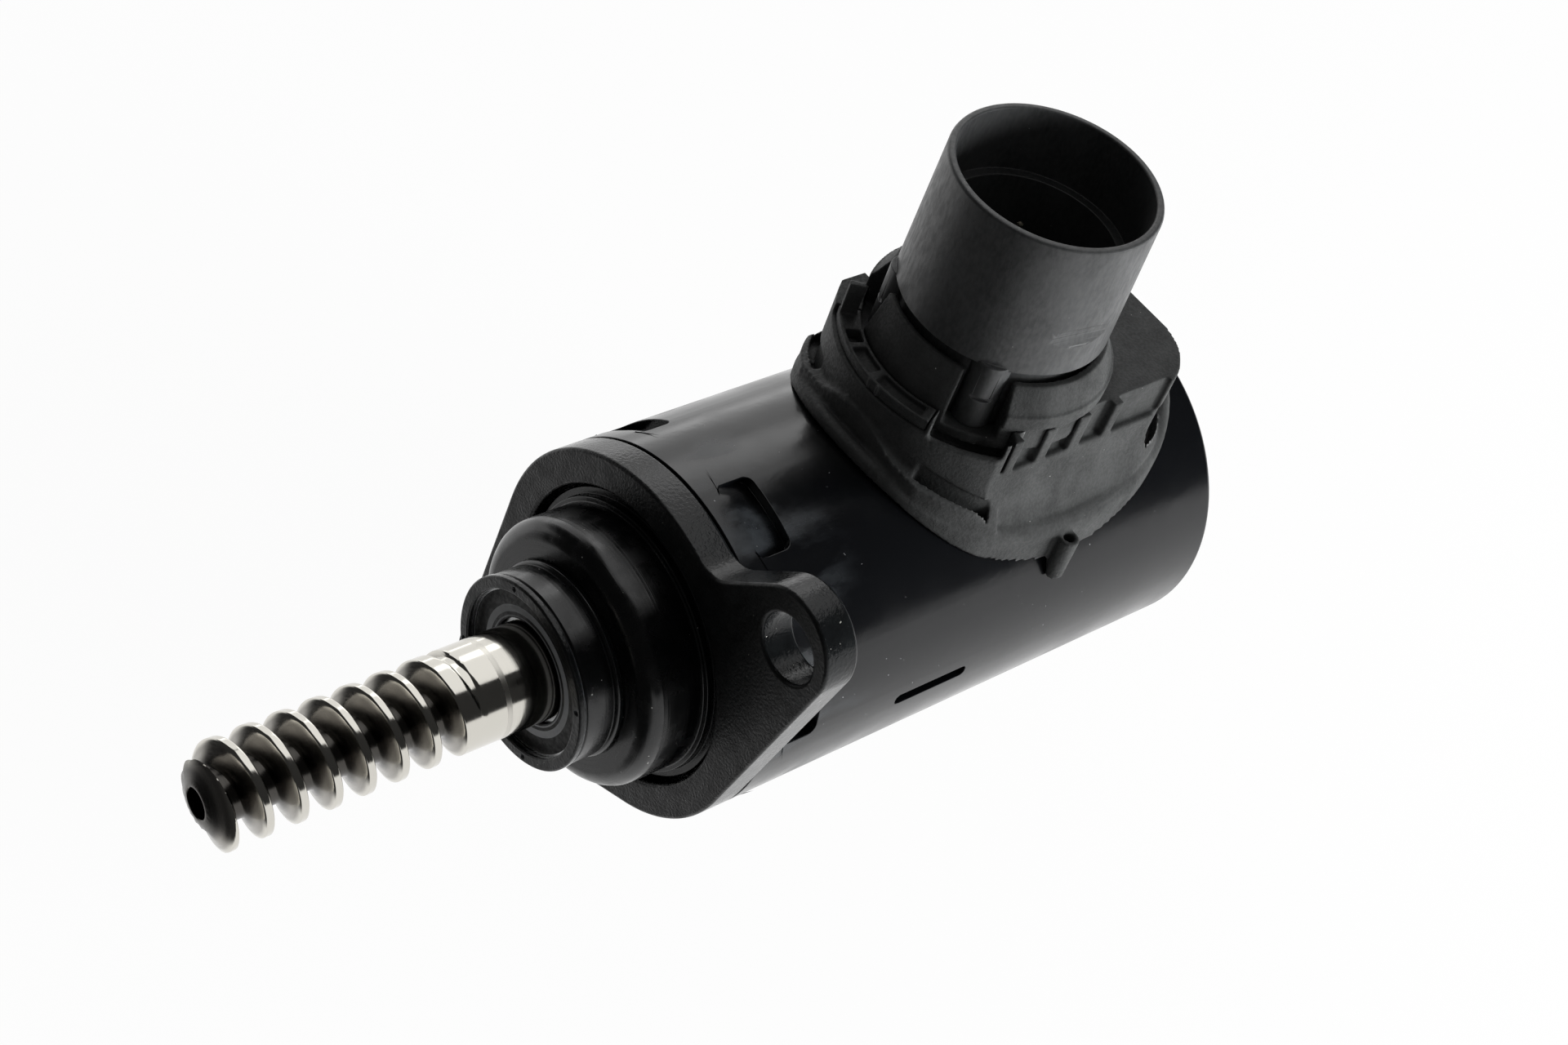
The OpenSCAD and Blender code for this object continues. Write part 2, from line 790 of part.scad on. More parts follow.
// The shaft without its worm: tip, worm blank, bearing seats and circlip groove
module shaft_blank() {
    turned([
        [0, -worm_reach + centre_hole_depth],
        [centre_hole_r, -worm_reach + centre_hole_depth - 1],
        [centre_hole_r, -worm_reach],
        [tip_r, -worm_reach],
        [worm_r - 1.2, -worm_reach + tip_len * 0.55],
        [worm_r, -worm_reach + tip_len],
        [worm_r, front_x + ring_setback],
        [front_bore_r, front_x + ring_setback],
        [front_bore_r, front_end_x],
        [front_bore_r - circlip_depth, front_end_x],
        [front_bore_r - circlip_depth, front_end_x + circlip_t],
        [front_bore_r - 0.05, front_end_x + circlip_t],
        [front_bore_r - 0.05, front_end_x + circlip_t + 2],
        [mid_shaft_r, front_end_x + circlip_t + 2.4],
        [mid_shaft_r, magnet_x + sensor_magnet_w],
        [rear_bore_r + 1.2, magnet_x + sensor_magnet_w],
        [rear_bore_r + 1.2, rear_x],
        [rear_bore_r, rear_x],
        [rear_bore_r, shaft_end_x - 0.5],
        [rear_bore_r - 0.5, shaft_end_x],
        [0, shaft_end_x]
    ]);
}

module worm_shaft() {
    color("#d5d7d8")
        difference() {
            shaft_blank();
            worm_groove();
        }
}

// Rotor

module rotor_core() {
    color("#7b7e82")
        plate_x(core_x, core_end_x)
            difference() {
                circle(rotor_core_r);
                circle(mid_shaft_r);
                for (i = [0:magnet_count - 1])
                    rotate((i + 0.5) * 360 / magnet_count)
                        translate([(rotor_core_r + mid_shaft_r) / 2, 0])
                            circle(0.8);
            }
}

module rotor_magnets() {
    span = 360 / magnet_count - magnet_gap;
    color("#3c3e42")
        for (i = [0:magnet_count - 1])
            at_angle(i * 360 / magnet_count)
                rotate([0, 90, 0])
                    rotate([0, 0, 90 - span / 2])
                        rotate_extrude(angle = span)
                            polygon([
                                [rotor_core_r, core_x],
                                [magnet_r, core_x],
                                [magnet_r, core_end_x],
                                [rotor_core_r, core_end_x]
                            ]);
}

// Stator

module stator_outline() {
    difference() {
        circle(spigot_r);
        circle(tooth_root_r);
    }
    difference() {
        union() {
            for (i = [0:tooth_count - 1])
                rotate(i * 360 / tooth_count)
                    translate([stator_bore_r, -tooth_w / 2])
                        square([tooth_root_r - stator_bore_r + 0.5, tooth_w]);
            circle(stator_bore_r + tooth_tip);
        }
        circle(stator_bore_r);
        for (i = [0:tooth_count - 1])
            rotate((i + 0.5) * 360 / tooth_count)
                translate([stator_bore_r - 1, -slot_opening / 2])
                    square([tooth_tip + 2, slot_opening]);
    }
}

module stator_core() {
    color("#6b6e72")
        plate_x(core_x, core_end_x)
            stator_outline();
}

// A frame round a tooth: an outer and an inner rectangle, given its depth along the tooth
module tooth_frame(length, width, corner, in_length, in_width, r0, r1) {
    translate([core_x + core_len / 2, r0, 0])
        rotate([-90, 0, 0])
            linear_extrude(r1 - r0)
                difference() {
                    rounded(length, width, corner);
                    square([in_length, in_width], center = true);
                }
}

module stator_bobbins() {
    color("#e6e2d6")
        for (i = [0:tooth_count - 1])
            at_angle(i * 360 / tooth_count)
                tooth_frame(
                    core_len + 2 * bobbin_wall, tooth_w + 2 * bobbin_wall, 0.3,
                    core_len, tooth_w,
                    bobbin_in_r, tooth_root_r - coil_gap
                );
}

module stator_windings() {
    color("#a3562f")
        for (i = [0:tooth_count - 1])
            at_angle(i * 360 / tooth_count)
                tooth_frame(
                    core_len + 2 * (bobbin_wall + coil_over), tooth_w + 2 * (bobbin_wall + coil_t), 1.6,
                    core_len + 2 * bobbin_wall, tooth_w + 2 * bobbin_wall,
                    bobbin_in_r + coil_gap, tooth_root_r - 2 * coil_gap
                );
}

function busbar_x(i) = coil_end_x + busbar_gap + i * (busbar_t + busbar_gap);

// Three rings, one to a phase, each with a tab that reaches the coils
module busbar_rings() {
    color("#c07a45")
        for (i = [0:2])
            tube_x(busbar_x(i), busbar_x(i) + busbar_t, busbar_in_r, busbar_out_r);
}

// Rear end

module rear_bearing_bracket() {
    color("#4a4d50")
        turned([
            [rear_bore_r + 2, bracket_x],
            [rear_bore_r + 2, can_end_x - can_wall],
            [spigot_r, can_end_x - can_wall],
            [spigot_r, bracket_x],
            [rear_od_r + bracket_wall, bracket_x],
            [rear_od_r + bracket_wall, rear_x],
            [rear_od_r, rear_x],
            [rear_od_r, bracket_x]
        ]);
}

// The wave washer, drawn pressed flat between the bearing and the bracket
module wave_washer() {
    gap = 0.15;
    color("#9b9ea1")
        tube_x(rear_end_x + gap, bracket_x - gap, rear_od_r - 2.2, rear_od_r - 0.2);
}

module sensor_board() {
    color("#2f4a35")
        tube_x(board_x, board_x + board_t, board_hole_r, spigot_r);
}

// Flat packages on the board's rear face, the largest next to the magnet
module sensor_chip() {
    color("#1b1c1e")
        for (p = [[90, 1], [150, 0.6], [210, 0.8], [330, 0.6]])
            at_angle(p[0])
                translate([board_x + board_t, board_hole_r + 0.6, -chip_size * p[1] / 2])
                    cube([chip_t, chip_size * p[1], chip_size * p[1]]);
}

module sensor_magnet() {
    color("#4b4d52")
        tube_x(magnet_x, magnet_x + sensor_magnet_w, mid_shaft_r, sensor_magnet_r);
}

// Connector base

// The rim's outline seen from above, moved in by d, at the angle a of its outward normal
function rim_centre(a) =
    let (
        side = rim_side_r - rim_end_r,
        turn = acos(rim_spread / side),
        n = abs(a)
    )
    n < turn ? [rim_x + rim_spread, 0]
    : n > 180 - turn ? [rim_x - rim_spread, 0]
    : [rim_x, (a > 0 ? -1 : 1) * side * sin(turn)];
function rim_radius(a) =
    let (turn = acos(rim_spread / (rim_side_r - rim_end_r)), n = abs(a))
    (n < turn || n > 180 - turn) ? rim_end_r : rim_side_r;
function rim_point(a, d) = rim_centre(a) + (rim_radius(a) - d) * [cos(a), sin(a)];

// Height of the curved surface of radius r that the rim's top and the valley follow
function crown_z(r, y) = sqrt(r * r - y * y) - rim_crown_drop;

// The rim's section: inset from the outline and height against the crown
function rim_section() = [
    [0, -0.9],
    [rim_w * 0.1, -0.35],
    [rim_w * 0.35, -0.02],
    [rim_w * 0.65, -0.02],
    [rim_w * 0.9, -0.4],
    [rim_w, -valley_depth - 0.3]
];
rim_foot_r = can_r + 0.3;
rim_steps = 72;
function rim_angle(i) = -180 + 360 * (i + 0.5) / rim_steps;

function rim_ring(a) =
    let (outer = rim_point(a, 0), inner = rim_point(a, rim_w))
    concat(
        [[outer[0], outer[1], sqrt(pow(rim_foot_r, 2) - pow(outer[1], 2))]],
        [for (s = rim_section())
            let (p = rim_point(a, s[0]))
            [p[0], p[1], crown_z(rim_crown_r, p[1]) + s[1]]],
        [[inner[0], inner[1], sqrt(pow(rim_foot_r, 2) - pow(inner[1], 2)) - 0.1]]
    );

module rim() {
    rings = [for (i = [0:rim_steps - 1]) rim_ring(rim_angle(i))];
    sides = len(rings[0]);
    polyhedron(
        points = [for (ring = rings) each ring],
        faces = [for (i = [0:rim_steps - 1], j = [0:sides - 1])
            let (
                a = i * sides + j,
                b = i * sides + (j + 1) % sides,
                c = ((i + 1) % rim_steps) * sides + j,
                d = ((i + 1) % rim_steps) * sides + (j + 1) % sides
            )
            each [[a, b, d], [a, d, c]]],
        convexity = 6
    );
}

// The rim's outline, moved in by d
module rim_outline(d) {
    polygon([for (i = [0:rim_steps - 1]) rim_point(rim_angle(i), d)]);
}

// The floor inside the rim, curved over the can
module valley() {
    intersection() {
        translate([0, 0, 10])
            linear_extrude(20)
                rim_outline(rim_w / 2);
        translate([0, 0, -rim_crown_drop])
            rod_x(rim_x - 40, rim_x + 40, valley_r);
    }
}

// The upright body's outline: round in front, flat at the sides, with two round rear corners
module body_outline() {
    difference() {
        intersection() {
            translate([plug_x - 2 * drum_r, -block_half_w])
                square([block_rear_x - plug_x + 2 * drum_r, 2 * block_half_w]);
            union() {
                translate([plug_x, 0])
                    circle(drum_r);
                translate([plug_x, -2 * drum_r])
                    square([3 * drum_r, 4 * drum_r]);
            }
        }
        for (s = [-1, 1])
            translate([block_rear_x - block_corner_r, s * (block_half_w - block_corner_r)])
                difference() {
                    translate([0, s > 0 ? 0 : -2 * block_corner_r])
                        square(2 * block_corner_r);
                    circle(block_corner_r);
                }
    }
}

// The concave flank that spreads from the body's flat sides and rear wall to the valley
flank_low_z = 14;
flank_reach = 4.4;
flank_steps = 8;
function flank_profile(from) =
    let (sweep = acos(1 - flank_reach / flank_r))
    [
        [from - 0.5, flank_z],
        for (i = [0:flank_steps])
            let (t = sweep * i / flank_steps)
            [from + flank_r * (1 - cos(t)), flank_z - flank_r * sin(t)],
        [from + flank_reach, flank_low_z],
        [from - 0.5, flank_low_z]
    ];

module flanks() {
    x0 = plug_x - 10.75;
    x1 = block_rear_x - block_corner_r;
    half = block_half_w - block_corner_r;
    for (s = [0, 1])
        mirror([0, s, 0]) {
            plate_x(x0, x1)
                polygon(flank_profile(block_half_w));
            translate([x1, half, 0])
                rotate_extrude(angle = 90)
                    polygon(flank_profile(block_corner_r));
        }
    translate([0, half, 0])
        rotate([90, 0, 0])
            linear_extrude(2 * half)
                polygon(flank_profile(block_rear_x));
}

// Shallow pockets in the block's wall, open at the top
module niches() {
    for (s = [-1, 1], e = niche_edges)
        translate([e[0], s > 0 ? block_half_w - niche_depth : -block_half_w - 1, niche_z])
            cube([e[1] - e[0], niche_depth + 1, OVER + plate_z - niche_z]);
}

// Crescent moats between the drum and its parapet, and at the body's rear corners
module moats() {
    intersection() {
        for (s = [0, 1])
            mirror([0, s, 0])
                plug_sector(-150, -119, [
                    [drum_r - moat_depth, 15], [parapet_r, 15], [parapet_r, plate_z], [drum_r - moat_depth, plate_z]
                ]);
        translate([0, 0, -rim_crown_drop])
            tube_x(plug_x - 2 * drum_r, plug_x, valley_r + 0.15, rim_crown_r + 3);
    }
    for (s = [0, 1])
        mirror([0, s, 0])
            translate([block_rear_x - block_corner_r, -block_half_w + block_corner_r, 21.5])
                rotate([0, 0, -78])
                    rotate_extrude(angle = 70)
                        translate([block_corner_r - 0.2, 0])
                            square([1.1, 8]);
}

// The parapet that stands on the rim in front of the drum: its roof line, half as [y, z]
function parapet_roof() = [
    [0, parapet_z], [2.2, parapet_z - 0.25], [4.2, parapet_z - 1], [5.6, parapet_z - 1.7], [6.8, parapet_z - 2.4],
    [8, parapet_z - 2.85], [11.4, parapet_z - 3.6], [13.4, parapet_z - 4.15], [15.2, parapet_z - 4.75],
    [16.6, parapet_z - 5.3], [17.6, parapet_z - 5.9], [18.2, parapet_z - 6.8], [18.8, parapet_z - 8],
    [19.4, parapet_z - 9.1], [20, parapet_z - 10.2], [20.6, parapet_z - 11.4]
];

module parapet() {
    roof = parapet_roof();
    last = len(roof) - 1;
    front_r = 41.1;
    intersection() {
        translate([plug_x - drum_r - 0.55 + front_r, 0, 12.5])
            cylinder(h = 20, r = front_r);
        translate([0, 0, 11])
            linear_extrude(22)
                rim_outline(0.2);
        plate_x(plug_x - 2 * drum_r, plug_x - 8.3)
            polygon(concat(
                [for (i = [0:last]) [-roof[last - i][0], roof[last - i][1]]],
                [for (i = [1:last]) roof[i]],
                [[roof[last][0], 10], [-roof[last][0], 10]]
            ));
    }
}

// A nub on the rim's side, open at the top
module nub() {
    translate([nub_x, nub_y, 11])
        cylinder(h = nub_z - 11, r = nub_r);
}

module base_body() {
    difference() {
        union() {
            valley();
            translate([0, 0, 15])
                linear_extrude(plate_z - 15)
                    body_outline();
            intersection() {
                flanks();
                translate([0, 0, 5])
                    linear_extrude(30)
                        rim_outline(rim_w / 2);
            }
            parapet();
            nub();
        }
        rod_x(0, can_end_x + OVER, can_r + base_play);
        moats();
        niches();
    }
}

// Where the latch track sits, and the recess between the collar and the drum's wall
module track_seat() {
    plug_sector(track_from - 0.5, track_end + 0.5, [
        [collar_foot_r - 1, track_floor_z - track_t],
        [drum_r + 1, track_floor_z - track_t],
        [drum_r + 1, plate_z + 1],
        [collar_foot_r - 1, plate_z + 1]
    ]);
    plug_sector(-151.5, -118, [
        [collar_foot_r - 1, recess_z], [drum_r - 1, recess_z],
        [drum_r - 1, plate_z + 2], [collar_foot_r - 1, plate_z + 2]
    ]);
    plug_sector(-151, -122, [
        [drum_r - 2, gate_z], [drum_r + 1, gate_z], [drum_r + 1, plate_z + 3], [drum_r - 2, plate_z + 3]
    ]);
}

// Two thin upright ribs in front, on a wall of radius r
module front_ribs(r, z0, z1) {
    for (a = [179, 183.5])
        translate([plug_x, 0, z0])
            rotate([0, 0, a])
                translate([r - 0.3, -0.15, 0])
                    cube([0.5, 0.3, z1 - z0]);
}

module connector_base() {
    color("#3a3c3d") {
        difference() {
            union() {
                base_body();
                rim();
            }
            translate([nub_x, nub_y, 12])
                cylinder(h = 8, r = nub_hole_r);
            translate([plug_x, 0, 15])
                cylinder(h = 30, r = lead_hole_r);
            translate([plug_x, 0, sleeve_foot_z])
                cylinder(h = 20, r = sleeve_foot_r);
            translate([plug_x, 0, foot_z])
                cylinder(h = 20, r = collar_foot_r + 0.07);
            track_seat();
            gasket_groove();
        }
        front_ribs(drum_r - 0.2, track_floor_z - track_t - 1.2, track_floor_z - track_t - 0.05);
    }
}

// The groove for the gasket, in the base's underside
module gasket_groove() {
    intersection() {
        translate([plug_x, 0, 15])
            difference() {
                cylinder(h = 20, r = gasket_out_r);
                cylinder(h = 20, r = gasket_in_r);
            }
        rod_x(0, can_end_x, can_r + gasket_t);
    }
}

module base_gasket() {
    color("#1a1b1c")
        difference() {
            gasket_groove();
            rod_x(0, can_end_x, can_r);
        }
}

// Guide collar

module guide_collar() {
    wall_low_z = foot_z + foot_t / 2;
    wall = [
        [collar_in_r, wall_low_z],
        [collar_foot_r, wall_low_z],
        [collar_foot_r, plate_z],
        [collar_lip_r, collar_lip_z],
        [collar_in_r, collar_lip_z]
    ];
    rear_wall = [
        [collar_in_r, wall_low_z],
        [collar_foot_r, wall_low_z],
        [collar_foot_r, plate_z + 0.6],
        [ledge_r, plate_z + 0.6],
        [ledge_r, ledge_z],
        [ledge_r - 0.3, ledge_z + 0.05],
        [collar_lip_r, collar_lip_z],
        [collar_in_r, collar_lip_z]
    ];
    color("#242628") {
        union() {
            plug_turned([
                [sleeve_foot_r + 0.05, foot_z],
                [collar_foot_r + 0.05, foot_z],
                [collar_foot_r + 0.05, foot_z + foot_t],
                [sleeve_foot_r + 0.05, foot_z + foot_t]
            ]);
            plug_sector(180 - front_wall_half, 180 + front_wall_half, wall);
            plug_sector(-rear_wall_half, rear_wall_half, rear_wall);
        }
    }
}

// Latch track on the drum's front

// A cut in the track between its rails, from the height z up
module track_cut(from, to, z) {
    plug_sector(from, to, [
        [track_in_r + rail_w, z], [track_out_r - rail_w, z],
        [track_out_r - rail_w, plate_z + 2], [track_in_r + rail_w, plate_z + 2]
    ]);
}

module clip_ring() {
    low = track_floor_z - track_t;
    rib_half = 1.6;
    color("#1e2022")
        difference() {
            union() {
                plug_sector(track_from, track_end, [
                    [track_in_r, low], [track_out_r, low],
                    [track_out_r, track_floor_z + rail_h], [track_in_r, track_floor_z + rail_h]
                ]);
                translate([plug_x, 0, plate_z - 1])
                    rotate([0, 0, 141.5])
                        translate([track_in_r + 0.7, -0.5, 0])
                            cube([2.2, 1, 5.8]);
                front_ribs(track_out_r, low, plate_z - 0.1);
            }
            track_cut(track_start + 2, track_start + 9.4, low - 1);
            track_cut(track_start + 12.6, 178 - rib_half, track_floor_z);
            track_cut(178 + rib_half, track_end - 4, track_floor_z);
        }
}

// Connector sleeve

// A rounded post that hangs below the sleeve's edge
module key(angle) {
    translate([plug_x, 0, 0])
        rotate([0, 0, angle])
            translate([neck_r - 0.4, 0, 0])
                difference() {
                    translate([0, 0, foot_z + foot_t + 0.1])
                        cylinder(h = sleeve_low_z - foot_z - foot_t + 0.4, r = key_w / 2);
                    translate([key_w / 2 - 0.45, -key_w, 37.4])
                        cube([key_w, 2 * key_w, 0.5]);
                }
}

module connector_sleeve() {
    lip = 0.45;
    color("#494b4c")
        difference() {
            union() {
                plug_turned([
                    [well_r, sleeve_foot_z],
                    [sleeve_foot_r - 0.05, sleeve_foot_z],
                    [sleeve_foot_r - 0.05, foot_z],
                    [neck_r, foot_z],
                    [neck_r, sleeve_low_z + 0.6],
                    [neck_r + 0.2, sleeve_low_z],
                    [sleeve_low_r - 0.15, sleeve_low_z],
                    [sleeve_low_r, sleeve_low_z + 0.2],
                    [sleeve_top_r, sleeve_z - lip],
                    [sleeve_top_r - 0.13, sleeve_z - 0.13],
                    [sleeve_top_r - lip, sleeve_z],
                    [plug_bore_r + 0.2, sleeve_z],
                    [plug_bore_r, sleeve_z - 0.2],
                    [plug_bore_r, sleeve_z - plug_bore_depth],
                    [well_r, sleeve_z - plug_bore_depth]
                ]);
                for (s = [-1, 1])
                    difference() {
                        key(180 + s * key_angle);
                        translate([plug_x, 0, 0])
                            cylinder(h = 60, r = neck_r - 0.2);
                    }
            }
            translate([plug_x, 0, scoop_z])
                rotate([0, 0, scoop_angle])
                    translate([sleeve_low_r - 0.75 + scoop_r, -2 * OVER, 0])
                        rotate([-90, 0, 0])
                            cylinder(h = 4 * OVER, r = scoop_r);
        }
}

// Terminals

function blade_y(i) = (i - 1) * blade_pitch;
function pin_y(i) = (i - 2) * pin_pitch;
blade_row_x = plug_x - 3;
pin_row_x = plug_x + 4.25;
carrier_low_z = sleeve_foot_z;

module blade_holes() {
    for (i = [0:2])
        translate([blade_row_x - blade_t / 2, blade_y(i) - blade_w / 2, carrier_low_z - 1])
            cube([blade_t, blade_w, carrier_z - carrier_low_z + 2]);
    for (i = [0:4])
        translate([pin_row_x - pin_w / 2, pin_y(i) - pin_w / 2, carrier_low_z - 1])
            cube([pin_w, pin_w, carrier_z - carrier_low_z + 2]);
}

module terminal_carrier() {
    color("#222426")
        difference() {
            translate([plug_x, 0, carrier_low_z])
                cylinder(h = carrier_z - carrier_low_z, r = well_r - press_clearance);
            blade_holes();
        }
}

module terminal_pins() {
    color("#b9b3a4") {
        for (i = [0:2])
            translate([blade_row_x - blade_t / 2, blade_y(i) - blade_w / 2, carrier_low_z])
                cube([blade_t, blade_w, blade_z - carrier_low_z]);
        for (i = [0:4])
            translate([pin_row_x - pin_w / 2, pin_y(i) - pin_w / 2, carrier_low_z])
                cube([pin_w, pin_w, blade_z - 1 - carrier_low_z]);
    }
}

// Strips from the blades down to the busbars, and from the pins down to the board
module lead_frame() {
    power_w = 2;
    bend_z = carrier_low_z - 1;
    color("#b5743f") {
        for (i = [0:2])
            difference() {
                union() {
                    translate([busbar_x(i), blade_y(i) - power_w / 2, busbar_in_r])
                        cube([busbar_t, power_w, bend_z - busbar_in_r]);
                    translate([
                        min(blade_row_x, busbar_x(i)) - blade_t / 2,
                        blade_y(i) - power_w / 2,
                        bend_z - EPS
                    ])
                        cube([
                            abs(busbar_x(i) - blade_row_x) + blade_t + busbar_t / 2,
                            power_w,
                            1 + EPS
                        ]);
                }
                rod_x(0, can_end_x, busbar_out_r);
            }
        for (i = [0:4]) {
            translate([pin_row_x - strip_t / 2, pin_y(i) - strip_t / 2, lead_low_z])
                cube([strip_t, strip_t, carrier_low_z - lead_low_z]);
            translate([pin_row_x, pin_y(i) - strip_t / 2, lead_low_z])
                cube([board_x - pin_row_x, strip_t, strip_t]);
        }
    }
}

motor_can();
mounting_flange();
front_housing();
nose_ring();
front_bearing_outer_ring();
front_bearing_balls();
front_bearing_cage();
front_bearing_seal();
front_bearing_inner_ring();
shaft_circlip();
worm_shaft();
rotor_core();
rotor_magnets();
stator_core();
stator_bobbins();
stator_windings();
busbar_rings();
rear_bearing_outer_ring();
rear_bearing_balls();
rear_bearing_cage();
rear_bearing_inner_ring();
rear_bearing_bracket();
wave_washer();
sensor_board();
sensor_chip();
sensor_magnet();
base_gasket();
connector_base();
guide_collar();
clip_ring();
connector_sleeve();
terminal_carrier();
terminal_pins();
lead_frame();
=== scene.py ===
"""Looks of the worm drive actuator motor: fine worm, softened edges, finishes, light and camera."""

import json
import math

import bmesh
import bpy
from mathutils import Matrix, Vector


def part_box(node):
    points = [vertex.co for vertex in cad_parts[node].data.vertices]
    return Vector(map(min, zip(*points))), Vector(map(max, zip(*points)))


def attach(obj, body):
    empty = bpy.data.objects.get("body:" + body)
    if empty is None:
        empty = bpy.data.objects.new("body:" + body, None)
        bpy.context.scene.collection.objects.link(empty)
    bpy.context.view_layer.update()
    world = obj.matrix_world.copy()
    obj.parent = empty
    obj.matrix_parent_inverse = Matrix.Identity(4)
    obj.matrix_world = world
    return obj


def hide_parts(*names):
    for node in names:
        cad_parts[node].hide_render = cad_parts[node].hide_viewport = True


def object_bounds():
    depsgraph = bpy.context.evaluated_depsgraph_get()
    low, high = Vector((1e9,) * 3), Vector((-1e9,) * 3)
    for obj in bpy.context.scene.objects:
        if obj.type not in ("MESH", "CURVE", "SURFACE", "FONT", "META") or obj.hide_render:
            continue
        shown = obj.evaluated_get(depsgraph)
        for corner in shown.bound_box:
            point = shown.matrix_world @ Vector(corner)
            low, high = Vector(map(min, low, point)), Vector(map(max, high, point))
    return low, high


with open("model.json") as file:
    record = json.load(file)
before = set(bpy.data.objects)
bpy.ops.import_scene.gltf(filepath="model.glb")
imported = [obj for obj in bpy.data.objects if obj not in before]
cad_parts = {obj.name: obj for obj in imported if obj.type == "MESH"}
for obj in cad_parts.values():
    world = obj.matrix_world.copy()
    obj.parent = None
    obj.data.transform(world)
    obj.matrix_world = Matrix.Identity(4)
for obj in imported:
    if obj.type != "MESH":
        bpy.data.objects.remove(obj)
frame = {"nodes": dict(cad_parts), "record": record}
cad_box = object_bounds()

MM = 0.001
BODY_OF = {n: b for b, names in frame["record"]["behaviour"]["bodies"].items() for n in names}
SLOT_OF = {p["node"]: p["material_slot"] for p in frame["record"]["subparts"]}
WORM_MOUNT = next(m for m in frame["record"]["mounts"] if m["name"] == "worm_thread")
WORM_R = WORM_MOUNT["dims"]["r_mm"]

# Where finishes change, in millimetres. Places run along the motor axis and radii run out from it.
HAZE_PLACES = (26.0, 10.0)
RING_MARK_PLACES = (-21.2, -20.4)
THREAD_PLACES = (-22.0, -24.0)
# Radii over which painted shade darkens the thread's flanks, and then its root
FLANK_RADII = (6.45, 5.7)
ROOT_RADII = (5.2, 3.8)
SEAL_RING_RADII = (7.9, 8.85)
SEAL_LIP_RADII = (7.25, 7.45)

# Node trees

MATH = "ShaderNodeMath"
MIX = "ShaderNodeMix"
MAP = "ShaderNodeMapRange"


def linear(hex_colour):
    """An sRGB hex colour as linear RGBA."""
    parts = [int(hex_colour[i:i + 2], 16) / 255 for i in (1, 3, 5)]
    return [c / 12.92 if c <= 0.04045 else ((c + 0.055) / 1.055) ** 2.4 for c in parts] + [1.0]


def add(tree, kind, inputs=None, out=0, **settings):
    """Adds a node with its settings and links. Returns one of its outputs, or the node for out=None.

    A hex colour in inputs becomes linear, and an output of another node is linked.
    """
    made = tree.nodes.new(kind)
    for name, value in settings.items():
        setattr(made, name, value)
    for socket, value in (inputs or {}).items():
        if isinstance(value, bpy.types.NodeSocket):
            tree.links.new(value, made.inputs[socket])
        elif isinstance(value, str):
            made.inputs[socket].default_value = linear(value)
        else:
            made.inputs[socket].default_value = value
    return made if out is None else made.outputs[out]


def new_material(name, colour, roughness, metallic=0.0, ior=1.5):
    """A principled material with its constants set on the shader's own sockets."""
    made = bpy.data.materials.new(name)
    made.use_nodes = True
    tree = made.node_tree
    shader = tree.nodes["Principled BSDF"]
    shader.inputs["Base Color"].default_value = linear(colour)
    shader.inputs["Roughness"].default_value = roughness
    shader.inputs["Metallic"].default_value = metallic
    shader.inputs["IOR"].default_value = ior
    made.diffuse_color = linear(colour)
    return made, tree, shader


def finish(tree, shader, colour, roughness, height, depth_mm):
    """Links a finish's patterns to the shader, with height as a bump of depth_mm."""
    raised = add(tree, "ShaderNodeBump", {"Height": height, "Distance": depth_mm * MM}, "Normal")
    tree.links.new(colour, shader.inputs["Base Color"])
    tree.links.new(roughness, shader.inputs["Roughness"])
    tree.links.new(raised, shader.inputs["Normal"])


def clouds(tree, size_mm, low, high, stretch=(1, 1, 1), detail=4, ends=(0.32, 0.68)):
    """Soft clouds about size_mm across, longer where stretch is above one, that run low to high."""
    where = add(tree, "ShaderNodeTexCoord", out="Object")
    grain = add(tree, "ShaderNodeMapping", {
        "Vector": where, "Scale": [1 / (MM * size_mm * s) for s in stretch],
    })
    noise = add(tree, "ShaderNodeTexNoise", {
        "Vector": grain, "Scale": 1.0, "Detail": detail, "Roughness": 0.55,
    })
    return add(tree, MAP, {
        "Value": noise, "From Min": ends[0], "From Max": ends[1], "To Min": low, "To Max": high,
    }, interpolation_type="SMOOTHSTEP")


# Finishes paint pale edges with this mask, partly as wear and partly as painted highlight
def edges_for_wear_and_highlight(tree, radius_mm):
    """Near 1 on edges and 0 on open faces, from the turn of the normal over a small radius."""
    soft = add(tree, "ShaderNodeBevel", {"Radius": radius_mm * MM}, samples=6)
    plain = add(tree, "ShaderNodeNewGeometry", out="Normal")
    turn = add(tree, "ShaderNodeVectorMath", {0: soft, 1: plain}, "Value", operation="DOT_PRODUCT")
    return add(tree, MAP, {
        "Value": turn, "From Min": 0.99, "From Max": 0.8,
    }, interpolation_type="SMOOTHSTEP")


def along_and_out(tree):
    """Place along the motor axis and distance from it, both in millimetres."""
    where = add(tree, "ShaderNodeTexCoord", out="Object")
    scaled = add(tree, "ShaderNodeMapping", {"Vector": where, "Scale": [1 / MM] * 3})
    along = add(tree, "ShaderNodeSeparateXYZ", {0: scaled}, "X")
    across = add(tree, "ShaderNodeVectorMath", {0: scaled, 1: [0, 1, 1]}, operation="MULTIPLY")
    out = add(tree, "ShaderNodeVectorMath", {0: across}, "Value", operation="LENGTH")
    return along, out


